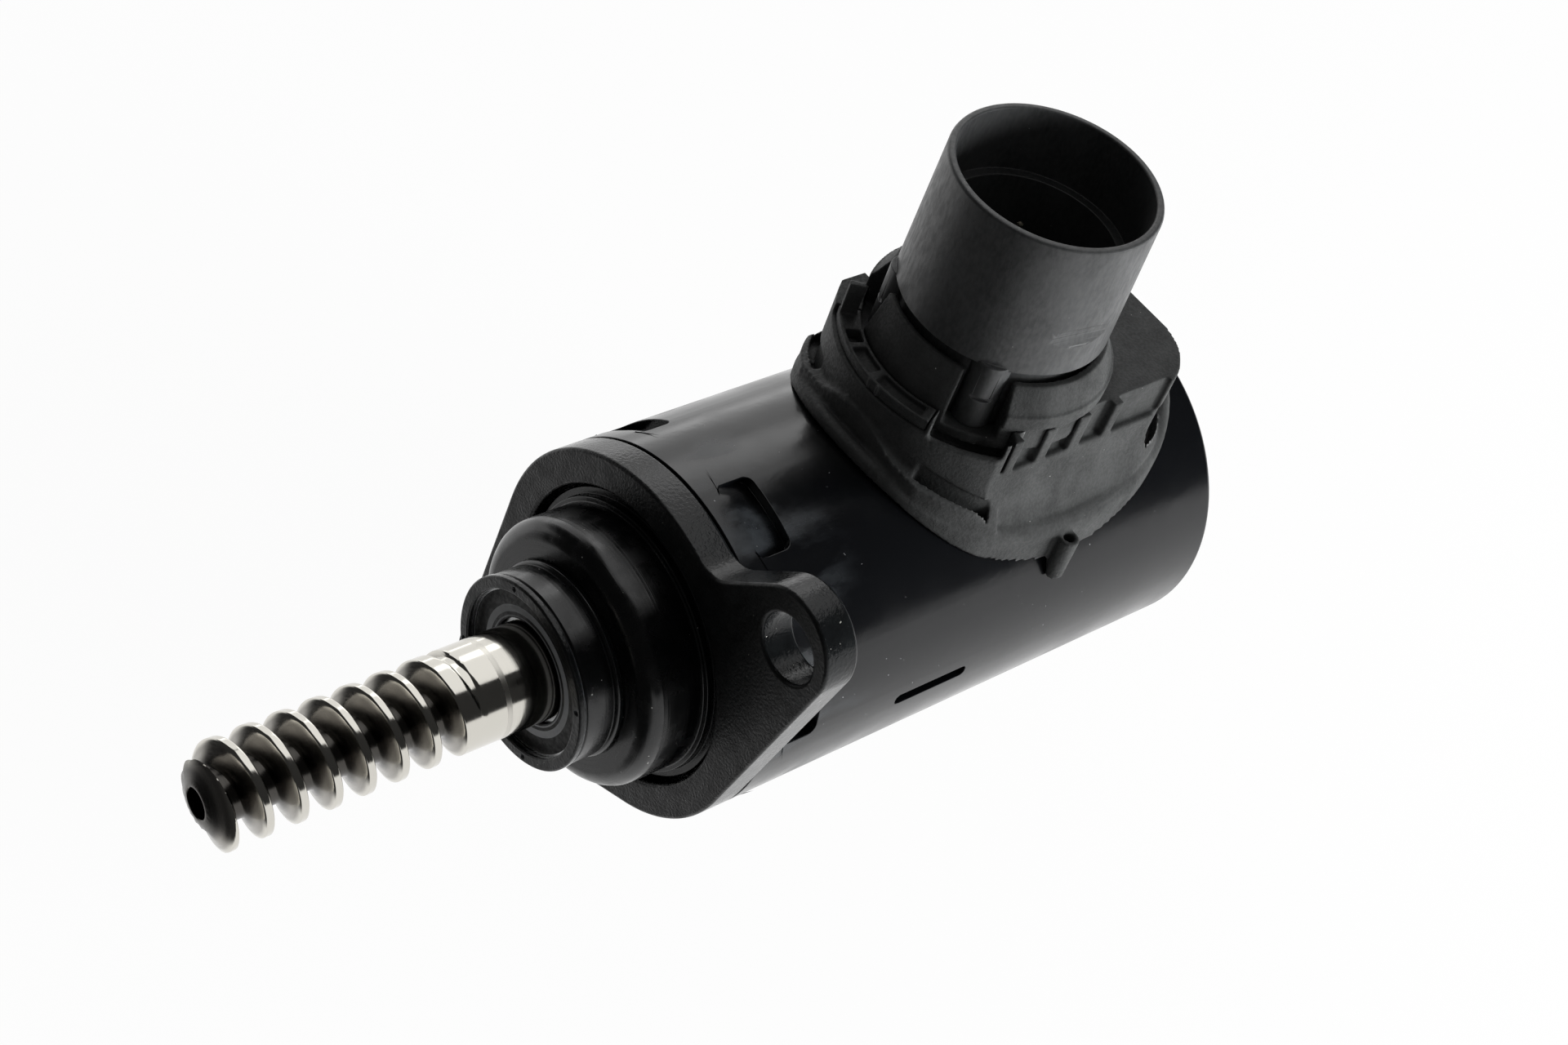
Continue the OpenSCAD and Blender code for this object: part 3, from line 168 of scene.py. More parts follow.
def turning_rings(tree, spacing_mm, low, high):
    """Rings round the motor axis, as a lathe or a grinding wheel leaves, that run low to high.

    Real ones lie a few hundredths of a millimetre apart. They are drawn coarser, so that they show.
    """
    along, out = along_and_out(tree)
    ring = add(tree, "ShaderNodeCombineXYZ", {"X": along, "Y": out, "Z": 0.0})
    noise = add(tree, "ShaderNodeTexNoise", {
        "Vector": ring, "Scale": 1 / spacing_mm, "Detail": 2.0, "Roughness": 0.6,
    })
    return add(tree, MAP, {
        "Value": noise, "From Min": 0.3, "From Max": 0.7, "To Min": low, "To Max": high,
    })


def band(tree, value, ends, soft):
    """1 where the value lies between the two ends, each of which fades over soft to either side."""
    start, end = ends
    up = add(tree, MAP, {
        "Value": value, "From Min": start - soft, "From Max": start + soft,
    }, interpolation_type="SMOOTHSTEP")
    down = add(tree, MAP, {
        "Value": value, "From Min": end + soft, "From Max": end - soft,
    }, interpolation_type="SMOOTHSTEP")
    return add(tree, MATH, {0: up, 1: down}, operation="MULTIPLY")


# Finishes


def can_lacquer():
    # Drawn steel under baked black lacquer: a deep gloss, hazed where it was handled near the flange
    made, tree, shader = new_material("baked_lacquer_on_drawn_steel", "#0a0b0d", 0.2)
    along, _ = along_and_out(tree)
    handled = add(tree, MAP, {
        "Value": along, "From Min": HAZE_PLACES[0], "From Max": HAZE_PLACES[1],
    }, interpolation_type="SMOOTHSTEP")
    streaks = clouds(tree, 7, 0.0, 1.0, (2.5, 1, 1), 5, (0.5, 0.7))
    haze = add(tree, MATH, {0: handled, 1: streaks}, operation="MULTIPLY")
    colour = add(tree, MIX, {0: haze, 6: "#08090b", 7: "#2e3134"}, 2, data_type="RGBA")
    speck = clouds(tree, 0.5, 0.0, 0.7, detail=1, ends=(0.79, 0.82))
    colour = add(tree, MIX, {0: speck, 6: colour, 7: "#8f9193"}, 2, data_type="RGBA")
    dull = add(tree, MATH, {0: haze, 1: 0.18, 2: clouds(tree, 9, 0.14, 0.24)}, operation="MULTIPLY_ADD")
    finish(tree, shader, colour, dull, clouds(tree, 1.6, 0.0, 1.0, detail=2), 0.004)
    return made


def flange_coating():
    # Stamped steel under satin black paint: grainy, with its rolled edges painted paler, partly as wear
    # and partly as painted highlight, and a few pale specks.
    # The sheared walls between its faces are smoother, so that they mirror the white below them.
    # The IOR is under paint's usual 1.5, because the flange in the photograph mirrors so little.
    made, tree, shader = new_material("satin_paint_on_stamped_steel", "#161719", 0.45, ior=1.38)
    edge_wear_and_highlight = add(tree, MATH, {
        0: edges_for_wear_and_highlight(tree, 0.6), 1: clouds(tree, 0.8, 0.35, 1.0),
    }, operation="MULTIPLY")
    shades = clouds(tree, 6, 0.0, 1.0, detail=5)
    colour = add(tree, MIX, {0: shades, 6: "#0b0c0d", 7: "#151718"}, 2, data_type="RGBA")
    colour = add(tree, MIX, {0: edge_wear_and_highlight, 6: colour, 7: "#55585b"}, 2, data_type="RGBA")
    speck = clouds(tree, 0.5, 0.0, 1.0, detail=1, ends=(0.77, 0.8))
    colour = add(tree, MIX, {0: speck, 6: colour, 7: "#94958f"}, 2, data_type="RGBA")
    normal = add(tree, "ShaderNodeTexCoord", out="Normal")
    along = add(tree, "ShaderNodeSeparateXYZ", {0: normal}, "X")
    on_face = add(tree, MATH, {0: along}, operation="ABSOLUTE")
    share = add(tree, MAP, {
        "Value": on_face, "From Min": 0.15, "From Max": 0.5, "To Min": 0.33, "To Max": 1.0,
    }, interpolation_type="SMOOTHSTEP")
    dull = add(tree, MATH, {0: clouds(tree, 2.5, 0.33, 0.48), 1: share}, operation="MULTIPLY")
    finish(tree, shader, colour, dull, clouds(tree, 0.45, 0.0, 1.0, detail=3), 0.02)
    return made


def housing_coating():
    # Turned steel under black oxide and oil: nearly glossy, with faint turning rings round the axis
    made, tree, shader = new_material("oiled_black_oxide", "#0c0d0f", 0.28)
    # Its edges are painted paler, partly as wear and partly as painted highlight
    edge_wear_and_highlight = add(tree, MATH, {0: edges_for_wear_and_highlight(tree, 0.35), 1: 0.7}, operation="MULTIPLY")
    shades = clouds(tree, 5, 0.0, 1.0)
    colour = add(tree, MIX, {0: shades, 6: "#070809", 7: "#0e0f10"}, 2, data_type="RGBA")
    colour = add(tree, MIX, {0: edge_wear_and_highlight, 6: colour, 7: "#484b4e"}, 2, data_type="RGBA")
    speck = clouds(tree, 0.6, 0.0, 1.0, detail=1, ends=(0.78, 0.81))
    colour = add(tree, MIX, {0: speck, 6: colour, 7: "#a9aaa6"}, 2, data_type="RGBA")
    finish(tree, shader, colour, clouds(tree, 3, 0.17, 0.32), turning_rings(tree, 0.3, 0.0, 1.0), 0.006)
    return made


def ground_steel():
    # Case-hardened steel, ground all over: near mirror with faint rings and one coarser ring mark.
    # Painted shade darkens the thread's flanks, and its root more.
    made, tree, shader = new_material("ground_case_hardened_steel", "#cfccc4", 0.12, metallic=1.0)
    along, out = along_and_out(tree)
    mark = band(tree, along, RING_MARK_PLACES, 0.08)
    threaded = add(tree, MAP, {
        "Value": along, "From Min": THREAD_PLACES[0], "From Max": THREAD_PLACES[1],
    })
    flank, root = (
        add(tree, MATH, {0: threaded, 1: add(tree, MAP, {
            "Value": out, "From Min": radii[0], "From Max": radii[1],
        }, interpolation_type="SMOOTHSTEP")}, operation="MULTIPLY")
        for radii in (FLANK_RADII, ROOT_RADII)
    )
    colour = add(tree, MIX, {0: flank, 6: "#d3d0c8", 7: "#9a9791"}, 2, data_type="RGBA")
    colour = add(tree, MIX, {0: root, 6: colour, 7: "#4c4a47"}, 2, data_type="RGBA")
    dull = turning_rings(tree, 0.15, 0.07, 0.17)
    dull = add(tree, MATH, {0: mark, 1: 0.2, 2: dull}, operation="MULTIPLY_ADD")
    dull = add(tree, MATH, {0: flank, 1: 0.1, 2: dull}, operation="MULTIPLY_ADD")
    finish(tree, shader, colour, dull, turning_rings(tree, 0.2, 0.0, 1.0), 0.0015)
    return made


def bearing_steel():
    # Through-hardened bearing steel: bright and cool, with very fine grinding rings
    made, tree, shader = new_material("ground_bearing_steel", "#b3b4b3", 0.2, metallic=1.0)
    shades = clouds(tree, 3, 0.0, 1.0)
    colour = add(tree, MIX, {0: shades, 6: "#b6b7b6", 7: "#a4a5a6"}, 2, data_type="RGBA")
    dull = turning_rings(tree, 0.2, 0.14, 0.3)
    finish(tree, shader, colour, dull, turning_rings(tree, 0.3, 0.0, 1.0), 0.002)
    return made


def bare_metal(name, colour, shade, low, high):
    """A plated, varnished or lapped metal that clouds between two shades and two roughnesses."""
    made, tree, shader = new_material(name, colour, (low + high) / 2, metallic=1.0)
    tint = add(tree, MIX, {0: clouds(tree, 4, 0.0, 1.0), 6: colour, 7: shade}, 2, data_type="RGBA")
    grain = clouds(tree, 0.8, 0.0, 1.0)
    dull = add(tree, MATH, {0: grain, 1: high - low, 2: low}, operation="MULTIPLY_ADD")
    finish(tree, shader, tint, dull, grain, 0.004)
    return made


def grained(name, colour, shade, low, high, grain_mm=0.4):
    """A moulded or pressed material with a fine grain, clouded between two shades."""
    made, tree, shader = new_material(name, colour, (low + high) / 2)
    tint = add(tree, MIX, {0: clouds(tree, 4, 0.0, 1.0), 6: colour, 7: shade}, 2, data_type="RGBA")
    grain = clouds(tree, grain_mm, 0.0, 1.0, detail=2)
    dull = add(tree, MATH, {0: grain, 1: high - low, 2: low}, operation="MULTIPLY_ADD")
    finish(tree, shader, tint, dull, grain, 0.012)
    return made


def seal_rubber():
    # Nitrile rubber bonded to a steel washer: black, with the washer's grey ring bare near the shaft
    made, tree, shader = new_material("nitrile_rubber_seal", "#0b0b0c", 0.5)
    _, out = along_and_out(tree)
    ring = band(tree, out, SEAL_RING_RADII, 0.06)
    lip = band(tree, out, SEAL_LIP_RADII, 0.05)
    bare = add(tree, MATH, {0: ring, 1: lip}, operation="MAXIMUM")
    shades = clouds(tree, 2, 0.0, 1.0)
    colour = add(tree, MIX, {0: shades, 6: "#050505", 7: "#0a0a0b"}, 2, data_type="RGBA")
    colour = add(tree, MIX, {0: bare, 6: colour, 7: "#8b8d8f"}, 2, data_type="RGBA")
    dull = clouds(tree, 0.5, 0.5, 0.7, detail=2)
    finish(tree, shader, colour, dull, turning_rings(tree, 0.3, 0.0, 1.0), 0.01)
    return made


def connector_plastic():
    # Glass-filled nylon from an eroded tool: matt and grainy, with its edges painted paler, partly as
    # wear and partly as painted highlight. The tool's grain is about 0.1 mm wide, and is drawn at 0.4
    # mm so that it shows. The IOR is under nylon's usual 1.53, to match the dull sheen in the
    # photograph.
    made, tree, shader = new_material("glass_filled_nylon", "#2a2b2b", 0.6, ior=1.42)
    edge_wear_and_highlight = add(tree, MATH, {
        0: edges_for_wear_and_highlight(tree, 0.4), 1: clouds(tree, 0.7, 0.3, 1.0),
    }, operation="MULTIPLY")
    shades = clouds(tree, 5, 0.0, 1.0, detail=5)
    colour = add(tree, MIX, {0: shades, 6: "#2c2d2d", 7: "#3b3c3c"}, 2, data_type="RGBA")
    colour = add(tree, MIX, {0: edge_wear_and_highlight, 6: colour, 7: "#6a6b6b"}, 2, data_type="RGBA")
    speck = clouds(tree, 0.45, 0.0, 1.0, detail=1, ends=(0.8, 0.83))
    colour = add(tree, MIX, {0: speck, 6: colour, 7: "#b9b9b4"}, 2, data_type="RGBA")
    dull = clouds(tree, 0.4, 0.55, 0.75, detail=3)
    finish(tree, shader, colour, dull, clouds(tree, 0.4, 0.0, 1.0, detail=3), 0.02)
    return made


def sleeve_plastic():
    # Nylon moulded against a polished core: satin grey with soft flow clouds and faint draw marks
    made, tree, shader = new_material("satin_moulded_nylon", "#343536", 0.38)
    grain = clouds(tree, 0.6, 0.0, 1.0, (1, 1, 3), 4)
    shades = clouds(tree, 6, 0.0, 1.0, (1, 1, 1.5), 5)
    marks = clouds(tree, 0.5, 0.0, 0.5, (1, 1, 2), 4)
    colour = add(tree, MIX, {0: shades, 6: "#303132", 7: "#3f4041"}, 2, data_type="RGBA")
    colour = add(tree, MIX, {0: marks, 6: colour, 7: "#4a4b4b"}, 2, data_type="RGBA")
    # Its edges are painted paler, partly as wear and partly as painted highlight
    edge_wear_and_highlight = add(tree, MATH, {0: edges_for_wear_and_highlight(tree, 0.3), 1: 0.7}, operation="MULTIPLY")
    colour = add(tree, MIX, {0: edge_wear_and_highlight, 6: colour, 7: "#7b7c7c"}, 2, data_type="RGBA")
    speck = clouds(tree, 0.45, 0.0, 0.8, detail=1, ends=(0.8, 0.83))
    colour = add(tree, MIX, {0: speck, 6: colour, 7: "#8d8e8d"}, 2, data_type="RGBA")
    dull = add(tree, MATH, {0: grain, 1: 0.14, 2: 0.36}, operation="MULTIPLY_ADD")
    finish(tree, shader, colour, dull, grain, 0.005)
    return made


MATERIALS = {
    "can_lacquer": can_lacquer(),
    "flange_coating": flange_coating(),
    "housing_coating": housing_coating(),
    "ground_steel": ground_steel(),
    "bearing_steel": bearing_steel(),
    # Lapped chrome steel: the balls mirror their surroundings
    "ball_steel": bare_metal("lapped_chrome_steel", "#c4c5c6", "#bcbdbe", 0.04, 0.1),
    # Tan glass-filled nylon: matt, with a dry grain
    "cage_plastic": grained("tan_nylon", "#75694e", "#87795b", 0.45, 0.6),
    "seal_rubber": seal_rubber(),
    # Stacked electrical steel: dull grey under a cloudy varnish
    "lamination_steel": bare_metal("varnished_electrical_steel", "#7f8183", "#6f7275", 0.35, 0.55),
    # Natural polyamide: warm white and slightly glossy
    "bobbin_plastic": grained("natural_polyamide", "#d3cdbb", "#c3bda9", 0.35, 0.5),
    # Enamelled copper: a warm red-brown metal under clear varnish
    "copper": bare_metal("enamelled_copper", "#b8703f", "#a45f33", 0.2, 0.35),
    # Sintered ferrite: a dark grey ceramic with a fine dry grain
    "magnet": grained("sintered_ferrite", "#34353a", "#3f4045", 0.4, 0.6, 0.3),
    # Stamped and zinc-plated steel: cool grey with cloudy gloss
    "bracket_steel": bare_metal("zinc_plated_steel", "#8b8e90", "#7d8083", 0.25, 0.45),
    # Glass laminate under green solder mask: a glossy dark green
    "board_laminate": grained("solder_mask_laminate", "#1f4a2c", "#245434", 0.2, 0.35),
    "connector_plastic": connector_plastic(),
    "sleeve_plastic": sleeve_plastic(),
    # Tin-plated bronze: soft grey metal with a slight yellow tint
    "contact_metal": bare_metal("tin_plated_bronze", "#c9c2b0", "#b9b29f", 0.2, 0.35),
}


def dress(piece, slot):
    """Gives the piece the one finish of the record's slot."""
    piece.data.materials.clear()
    piece.data.materials.append(MATERIALS[slot])


# Pieces

# Edges that turn by more than this are shaded sharp
SHARP_ABOVE = math.radians(35)
# Edges that turn by more than this are rounded
ROUND_ABOVE = math.radians(28)


def link_mesh(name, mesh):
    """A new object that holds the mesh."""
    made = bpy.data.objects.new(name, mesh)
    bpy.context.scene.collection.objects.link(made)
    return made


def applied(piece, name):
    """The piece with its modifiers applied, as a plain mesh on a new object."""
    shown = bpy.context.evaluated_depsgraph_get()
    mesh = bpy.data.meshes.new_from_object(piece.evaluated_get(shown), depsgraph=shown)
    bpy.data.objects.remove(piece)
    mesh.name = name
    return link_mesh(name, mesh)


def finish_piece(piece, node):
    """Gives the piece its node's finish and body, and puts it in the node's place."""
    dress(piece, SLOT_OF[node])
    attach(piece, BODY_OF[node])
    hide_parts(node)


# The worm, drawn as rows of points round the shaft. A row that follows the thread moves along the
# axis as it goes round, so that the crest and the groove each run along one row. Millimetres.

GROOVE_DEPTH = 3.1
# Angle between the groove's flank and the radial direction
FLANK_DEGREES = 20.8
TIP_FLAT_R = 2.4
WORM_SIZES = {
    "Sectors": 120,
    "Pitch": 4.57,
    "Outer radius": WORM_R,
    "Root radius": WORM_R - GROOVE_DEPTH,
    "Root half width": 0.6,
    "Flank slope": 1 / math.tan(math.radians(FLANK_DEGREES)),
    "Thread place": -52.665,
    "Thread end": -24.6,
    "Run-out": 2.8,
    "Tip place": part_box("worm_shaft")[0].x / MM,
    "Tip flat radius": TIP_FLAT_R,
    "Plain from": -20.0,
    "Edge round": 0.5,
    "Steep cone slope": 3.877,
    "Blunt cone slope": 1.905,
    "Blunt cone depth": 2.667,
    "Cone round": 0.3,
    "Shoulder round": 0.4,
    "Run-out taper": 0.3,
}
# Distances from the groove's middle at which a row runs, closest where the section turns
GROOVE_ROWS = (0, 0.3, 0.5, 0.62, 0.75, 0.95, 1.2, 1.42, 1.58, 1.68, 1.76, 1.84, 1.92, 2.02, 2.15)
# The centre hole from its bottom out to the tip's flat, as depth behind the tip and radius
CENTRE_HOLE = ((4.0, 0.0), (3.0, 2.0), (0.1, 2.0), (0.0, 2.1), (0.0, TIP_FLAT_R))
# The groove's middle lies this part of a pitch nearer to the tip than the thread's place
GROOVE_LAG = 0.25
WORM_WELD = 0.002

# The shaft behind the worm: radii from the front bearing to the rear end, lengths and a chamfer
SEAT_R = 6.0
CLIP_GROOVE_R = 5.5
LAND_R = 5.95
MIDDLE_R = 5.8
SHOULDER_R = 5.2
JOURNAL_R = 4.0
LAND_LEN = 2.0
STEP_LEN = 0.4
END_CHAMFER = 0.5


def shaft_rows():
    """Rows behind the worm as (place, radius): bearing seats, circlip groove, journal and rear end."""
    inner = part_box("front_bearing_inner_ring")
    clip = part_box("shaft_circlip")
    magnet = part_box("sensor_magnet")
    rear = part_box("rear_bearing_inner_ring")
    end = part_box("worm_shaft")[1].x / MM
    front = inner[0].x / MM
    back = inner[1].x / MM
    clip_end = clip[1].x / MM
    magnet_end = magnet[1].x / MM
    rear_front = rear[0].x / MM
    return (
        (front, WORM_R), (front, SEAT_R), (back, SEAT_R), (back, CLIP_GROOVE_R),
        (clip_end, CLIP_GROOVE_R), (clip_end, LAND_R),
        (clip_end + LAND_LEN, LAND_R), (clip_end + LAND_LEN + STEP_LEN, MIDDLE_R),
        (magnet_end, MIDDLE_R), (magnet_end, SHOULDER_R),
        (rear_front, SHOULDER_R), (rear_front, JOURNAL_R),
        (end - END_CHAMFER, JOURNAL_R), (end, JOURNAL_R - END_CHAMFER), (end, 0.0),
    )


def worm_rows():
    """Each row as (place, radius, follows the thread), encoded as the points of a mesh."""
    pitch, start = WORM_SIZES["Pitch"], WORM_SIZES["Thread place"]
    tip, plain = WORM_SIZES["Tip place"], WORM_SIZES["Plain from"]
    rows = [(tip + x, r, 0) for x, r in CENTRE_HOLE]
    offsets = sorted({-d for d in GROOVE_ROWS} | set(GROOVE_ROWS) | {pitch / 2})
    first = math.floor((tip - start) / pitch) - 1
    last = math.ceil((plain - start) / pitch) + 1
    for turn in range(first, last):
        middle = start + pitch * (turn - GROOVE_LAG)
        rows += [(middle + d, WORM_R, 1) for d in offsets]
    rows.append((plain, WORM_R, 0))
    rows += [(x, r, 0) for x, r in shaft_rows()]
    return rows


def worm_tree():
    """A tree that bends a grid into the worm shaft: rows along X, sectors round it."""
    tree = bpy.data.node_groups.new("worm_shaft_tree", "GeometryNodeTree")
    kinds = {"Rows": "NodeSocketGeometry"}
    kinds.update({name: "NodeSocketFloat" for name in WORM_SIZES})
    kinds.update({"Sectors": "NodeSocketInt", "Steel": "NodeSocketMaterial"})
    ports = {}
    for name, kind in kinds.items():
        ports[name] = tree.interface.new_socket(name, in_out="INPUT", socket_type=kind)
    tree.interface.new_socket("Worm", in_out="OUTPUT", socket_type="NodeSocketGeometry")
    size = add(tree, "NodeGroupInput", out=None).outputs

    count = add(tree, "GeometryNodeAttributeDomainSize", {0: size["Rows"]}, "Point Count")
    last_row = add(tree, MATH, {0: count, 1: 1.0}, operation="SUBTRACT")
    sectors = add(tree, MATH, {0: size["Sectors"], 1: 1.0}, operation="ADD")
    grid = add(tree, "GeometryNodeMeshGrid", {
        "Size X": last_row, "Size Y": size["Sectors"], "Vertices X": count, "Vertices Y": sectors,
    })
    position = add(tree, "GeometryNodeInputPosition")
    at = add(tree, "ShaderNodeSeparateXYZ", {0: position}, None).outputs
    row = add(tree, MATH, {0: last_row, 1: 0.5, 2: at["X"]}, operation="MULTIPLY_ADD")
    sector = add(tree, MATH, {0: size["Sectors"], 1: 0.5, 2: at["Y"]}, operation="MULTIPLY_ADD")
    turn = add(tree, MATH, {0: sector, 1: size["Sectors"]}, operation="DIVIDE")

    # The row's place, radius and whether it follows the thread
    whole_row = add(tree, "FunctionNodeFloatToInt", {0: row}, rounding_mode="ROUND")
    stored = add(tree, "GeometryNodeSampleIndex", {
        "Geometry": size["Rows"], "Value": position, "Index": whole_row,
    }, data_type="FLOAT_VECTOR", domain="POINT")
    told = add(tree, "ShaderNodeSeparateXYZ", {0: stored}, None).outputs

    # Along the axis: a threaded row moves by one pitch a turn, and stops at the tip and the plain shaft
    advance = add(tree, MATH, {0: turn, 1: size["Pitch"]}, operation="MULTIPLY")
    moved = add(tree, MATH, {0: advance, 1: told["Z"], 2: told["X"]}, operation="MULTIPLY_ADD")
    held = add(tree, "ShaderNodeClamp", {0: moved, 1: size["Tip place"], 2: size["Plain from"]})
    place = add(tree, MIX, {0: told["Z"], 2: told["X"], 3: held}, data_type="FLOAT")

    # Distance along the axis from the middle of the nearest groove
    lagged = add(tree, MATH, {0: turn, 1: GROOVE_LAG}, operation="SUBTRACT")
    from_start = add(tree, MATH, {0: place, 1: size["Thread place"]}, operation="SUBTRACT")
    turns = add(tree, MATH, {0: from_start, 1: size["Pitch"]}, operation="DIVIDE")
    phase = add(tree, MATH, {0: turns, 1: lagged}, operation="SUBTRACT")
    nearest = add(tree, MATH, {0: phase}, operation="ROUND")
    off_turns = add(tree, MATH, {0: phase, 1: nearest}, operation="SUBTRACT")
    off = add(tree, MATH, {0: off_turns, 1: size["Pitch"]}, operation="MULTIPLY")
    side = add(tree, MATH, {0: off}, operation="ABSOLUTE")

    # Run-out: the groove rises and narrows towards the thread's end
    middle = add(tree, MATH, {0: place, 1: off}, operation="SUBTRACT")
    left = add(tree, MATH, {0: size["Thread end"], 1: middle}, operation="SUBTRACT")
    share = add(tree, MATH, {0: left, 1: size["Run-out"]}, operation="DIVIDE")
    size_of_share = add(tree, MATH, {0: share}, operation="ABSOLUTE")
    squared = add(tree, MATH, {0: share, 1: size_of_share}, operation="MULTIPLY")
    risen = add(tree, MATH, {0: 1.0, 1: squared}, operation="SUBTRACT")
    risen = add(tree, MATH, {0: risen, 1: 0.0}, operation="MAXIMUM")
    depth = add(tree, MATH, {0: size["Outer radius"], 1: size["Root radius"]}, operation="SUBTRACT")
    root = add(tree, MATH, {0: risen, 1: depth, 2: size["Root radius"]}, operation="MULTIPLY_ADD")
    past_end = add(tree, MATH, {0: size["Run-out taper"], 1: -1.0}, operation="MULTIPLY")
    narrow = add(tree, MAP, {
        "Value": left, "From Min": past_end, "From Max": size["Run-out taper"],
    })
    root_half = add(tree, MATH, {0: size["Root half width"], 1: narrow}, operation="MULTIPLY")

    # The groove's section, with a fillet at its root
    past_root = add(tree, MATH, {0: side, 1: root_half}, operation="SUBTRACT")
    flank = add(tree, MATH, {0: past_root, 1: size["Flank slope"], 2: root}, operation="MULTIPLY_ADD")
    groove = add(tree, MATH, {0: root, 1: flank, 2: size["Edge round"]}, operation="SMOOTH_MAX")

    # The tip: a flat, a steep cone and a blunter one up to the outer radius
    from_tip = add(tree, MATH, {0: place, 1: size["Tip place"]}, operation="SUBTRACT")
    steep = add(tree, MATH, {
        0: from_tip, 1: size["Steep cone slope"], 2: size["Tip flat radius"],
    }, operation="MULTIPLY_ADD")
    blunt_foot = add(tree, MATH, {
        0: size["Outer radius"], 1: size["Blunt cone depth"],
    }, operation="SUBTRACT")
    blunt = add(tree, MATH, {
        0: from_tip, 1: size["Blunt cone slope"], 2: blunt_foot,
    }, operation="MULTIPLY_ADD")
    cone = add(tree, MATH, {0: steep, 1: blunt, 2: size["Cone round"]}, operation="SMOOTH_MIN")
    blank = add(tree, MATH, {
        0: cone, 1: size["Outer radius"], 2: size["Shoulder round"],
    }, operation="SMOOTH_MIN")
    cut = add(tree, MATH, {0: blank, 1: groove, 2: size["Edge round"]}, operation="SMOOTH_MIN")
    radius = add(tree, MIX, {0: told["Z"], 2: told["Y"], 3: cut}, data_type="FLOAT")

    # Round the axis, in metres
    angle = add(tree, MATH, {0: turn, 1: 2 * math.pi}, operation="MULTIPLY")
    cosine = add(tree, MATH, {0: angle}, operation="COSINE")
    sine = add(tree, MATH, {0: angle}, operation="SINE")
    point = add(tree, "ShaderNodeCombineXYZ", {
        "X": place,
        "Y": add(tree, MATH, {0: radius, 1: cosine}, operation="MULTIPLY"),
        "Z": add(tree, MATH, {0: radius, 1: sine}, operation="MULTIPLY"),
    })
    in_metres = add(tree, "ShaderNodeVectorMath", {0: point, "Scale": MM}, operation="SCALE")
    bent = add(tree, "GeometryNodeSetPosition", {"Geometry": grid, "Position": in_metres})
    welded = add(tree, "GeometryNodeMergeByDistance", {"Geometry": bent, "Distance": WORM_WELD * MM})
    shaded = add(tree, "GeometryNodeSetShadeSmooth", {"Geometry": welded, "Shade Smooth": True})
    plain = add(tree, "GeometryNodeRealizeInstances", {0: shaded})
    steel = add(tree, "GeometryNodeSetMaterial", {"Geometry": plain, "Material": size["Steel"]})
    add(tree, "NodeGroupOutput", {0: steel}, None)
    return tree, ports


def fine_worm():
    """The worm shaft with its thread's true section, in place of the source's faceted one."""
    mesh = bpy.data.meshes.new("worm_rows")
    mesh.from_pydata(worm_rows(), [], [])
    piece = link_mesh("worm_work", mesh)
    tree, ports = worm_tree()
    bend = piece.modifiers.new("worm", "NODES")
    bend.node_group = tree
    for name, value in WORM_SIZES.items():
        bend[ports[name].identifier] = value
    bend[ports["Steel"].identifier] = MATERIALS["ground_steel"]
    piece = applied(piece, "ground_worm_shaft")
    work = bmesh.new()
    work.from_mesh(piece.data)
    bmesh.ops.dissolve_degenerate(work, dist=0.0005 * MM, edges=work.edges)
    bmesh.ops.recalc_face_normals(work, faces=work.faces)
    work.to_mesh(piece.data)
    work.free()
    piece.data.shade_smooth()
    piece.data.set_sharp_from_angle(angle=SHARP_ABOVE)
    finish_piece(piece, "worm_shaft")


# Softened copies of the source's nodes


def clean_copy(node):
    """The node's mesh with its doubles merged and its flat faces joined."""
    work = bmesh.new()
    work.from_mesh(frame["nodes"][node].data)
    bmesh.ops.remove_doubles(work, verts=work.verts, dist=0.002 * MM)
    bmesh.ops.dissolve_limit(work, angle_limit=math.radians(0.5), verts=work.verts,
                             edges=work.edges, delimit={"NORMAL"})
    made = bpy.data.meshes.new(node + "_clean")
    work.to_mesh(made)
    work.free()
    return made


def soften(node, width_mm, name, segments=3):
    """A copy of the node whose edges are rounded by width_mm."""
    piece = link_mesh(name + "_work", clean_copy(node))
    rounding = piece.modifiers.new("edges", "BEVEL")
    rounding.width = width_mm * MM
    rounding.segments = segments
    rounding.limit_method = "ANGLE"
    rounding.angle_limit = ROUND_ABOVE
    rounding.use_clamp_overlap = False
    rounding.miter_outer = "MITER_ARC"
    piece = applied(piece, name)
    piece.data.shade_smooth()
    piece.data.set_sharp_from_angle(angle=SHARP_ABOVE)
    weigh = piece.modifiers.new("normals", "WEIGHTED_NORMAL")
    weigh.keep_sharp = True
    finish_piece(piece, node)


def mould(node, voxel_mm, name, keep=1.0):
    """A copy of the node with every edge softened, as a moulding has, and keep of its faces left.

    It is remeshed in millimetres, because the remesher takes no voxels this small in metres.
    """
    mesh = clean_copy(node)
    mesh.transform(Matrix.Scale(1 / MM, 4))
    piece = link_mesh(name + "_work", mesh)
    skin = piece.modifiers.new("skin", "REMESH")
    skin.mode = "VOXEL"
    skin.voxel_size = voxel_mm
    even = piece.modifiers.new("even", "SMOOTH")
    even.iterations = 2
    even.factor = 0.5
    if keep < 1:
        fewer = piece.modifiers.new("fewer", "DECIMATE")
        fewer.ratio = keep
    piece = applied(piece, name)
    piece.data.transform(Matrix.Scale(MM, 4))
    piece.data.shade_smooth()
    finish_piece(piece, node)


for name, obj in frame["nodes"].items():
    dress(obj, SLOT_OF[name])

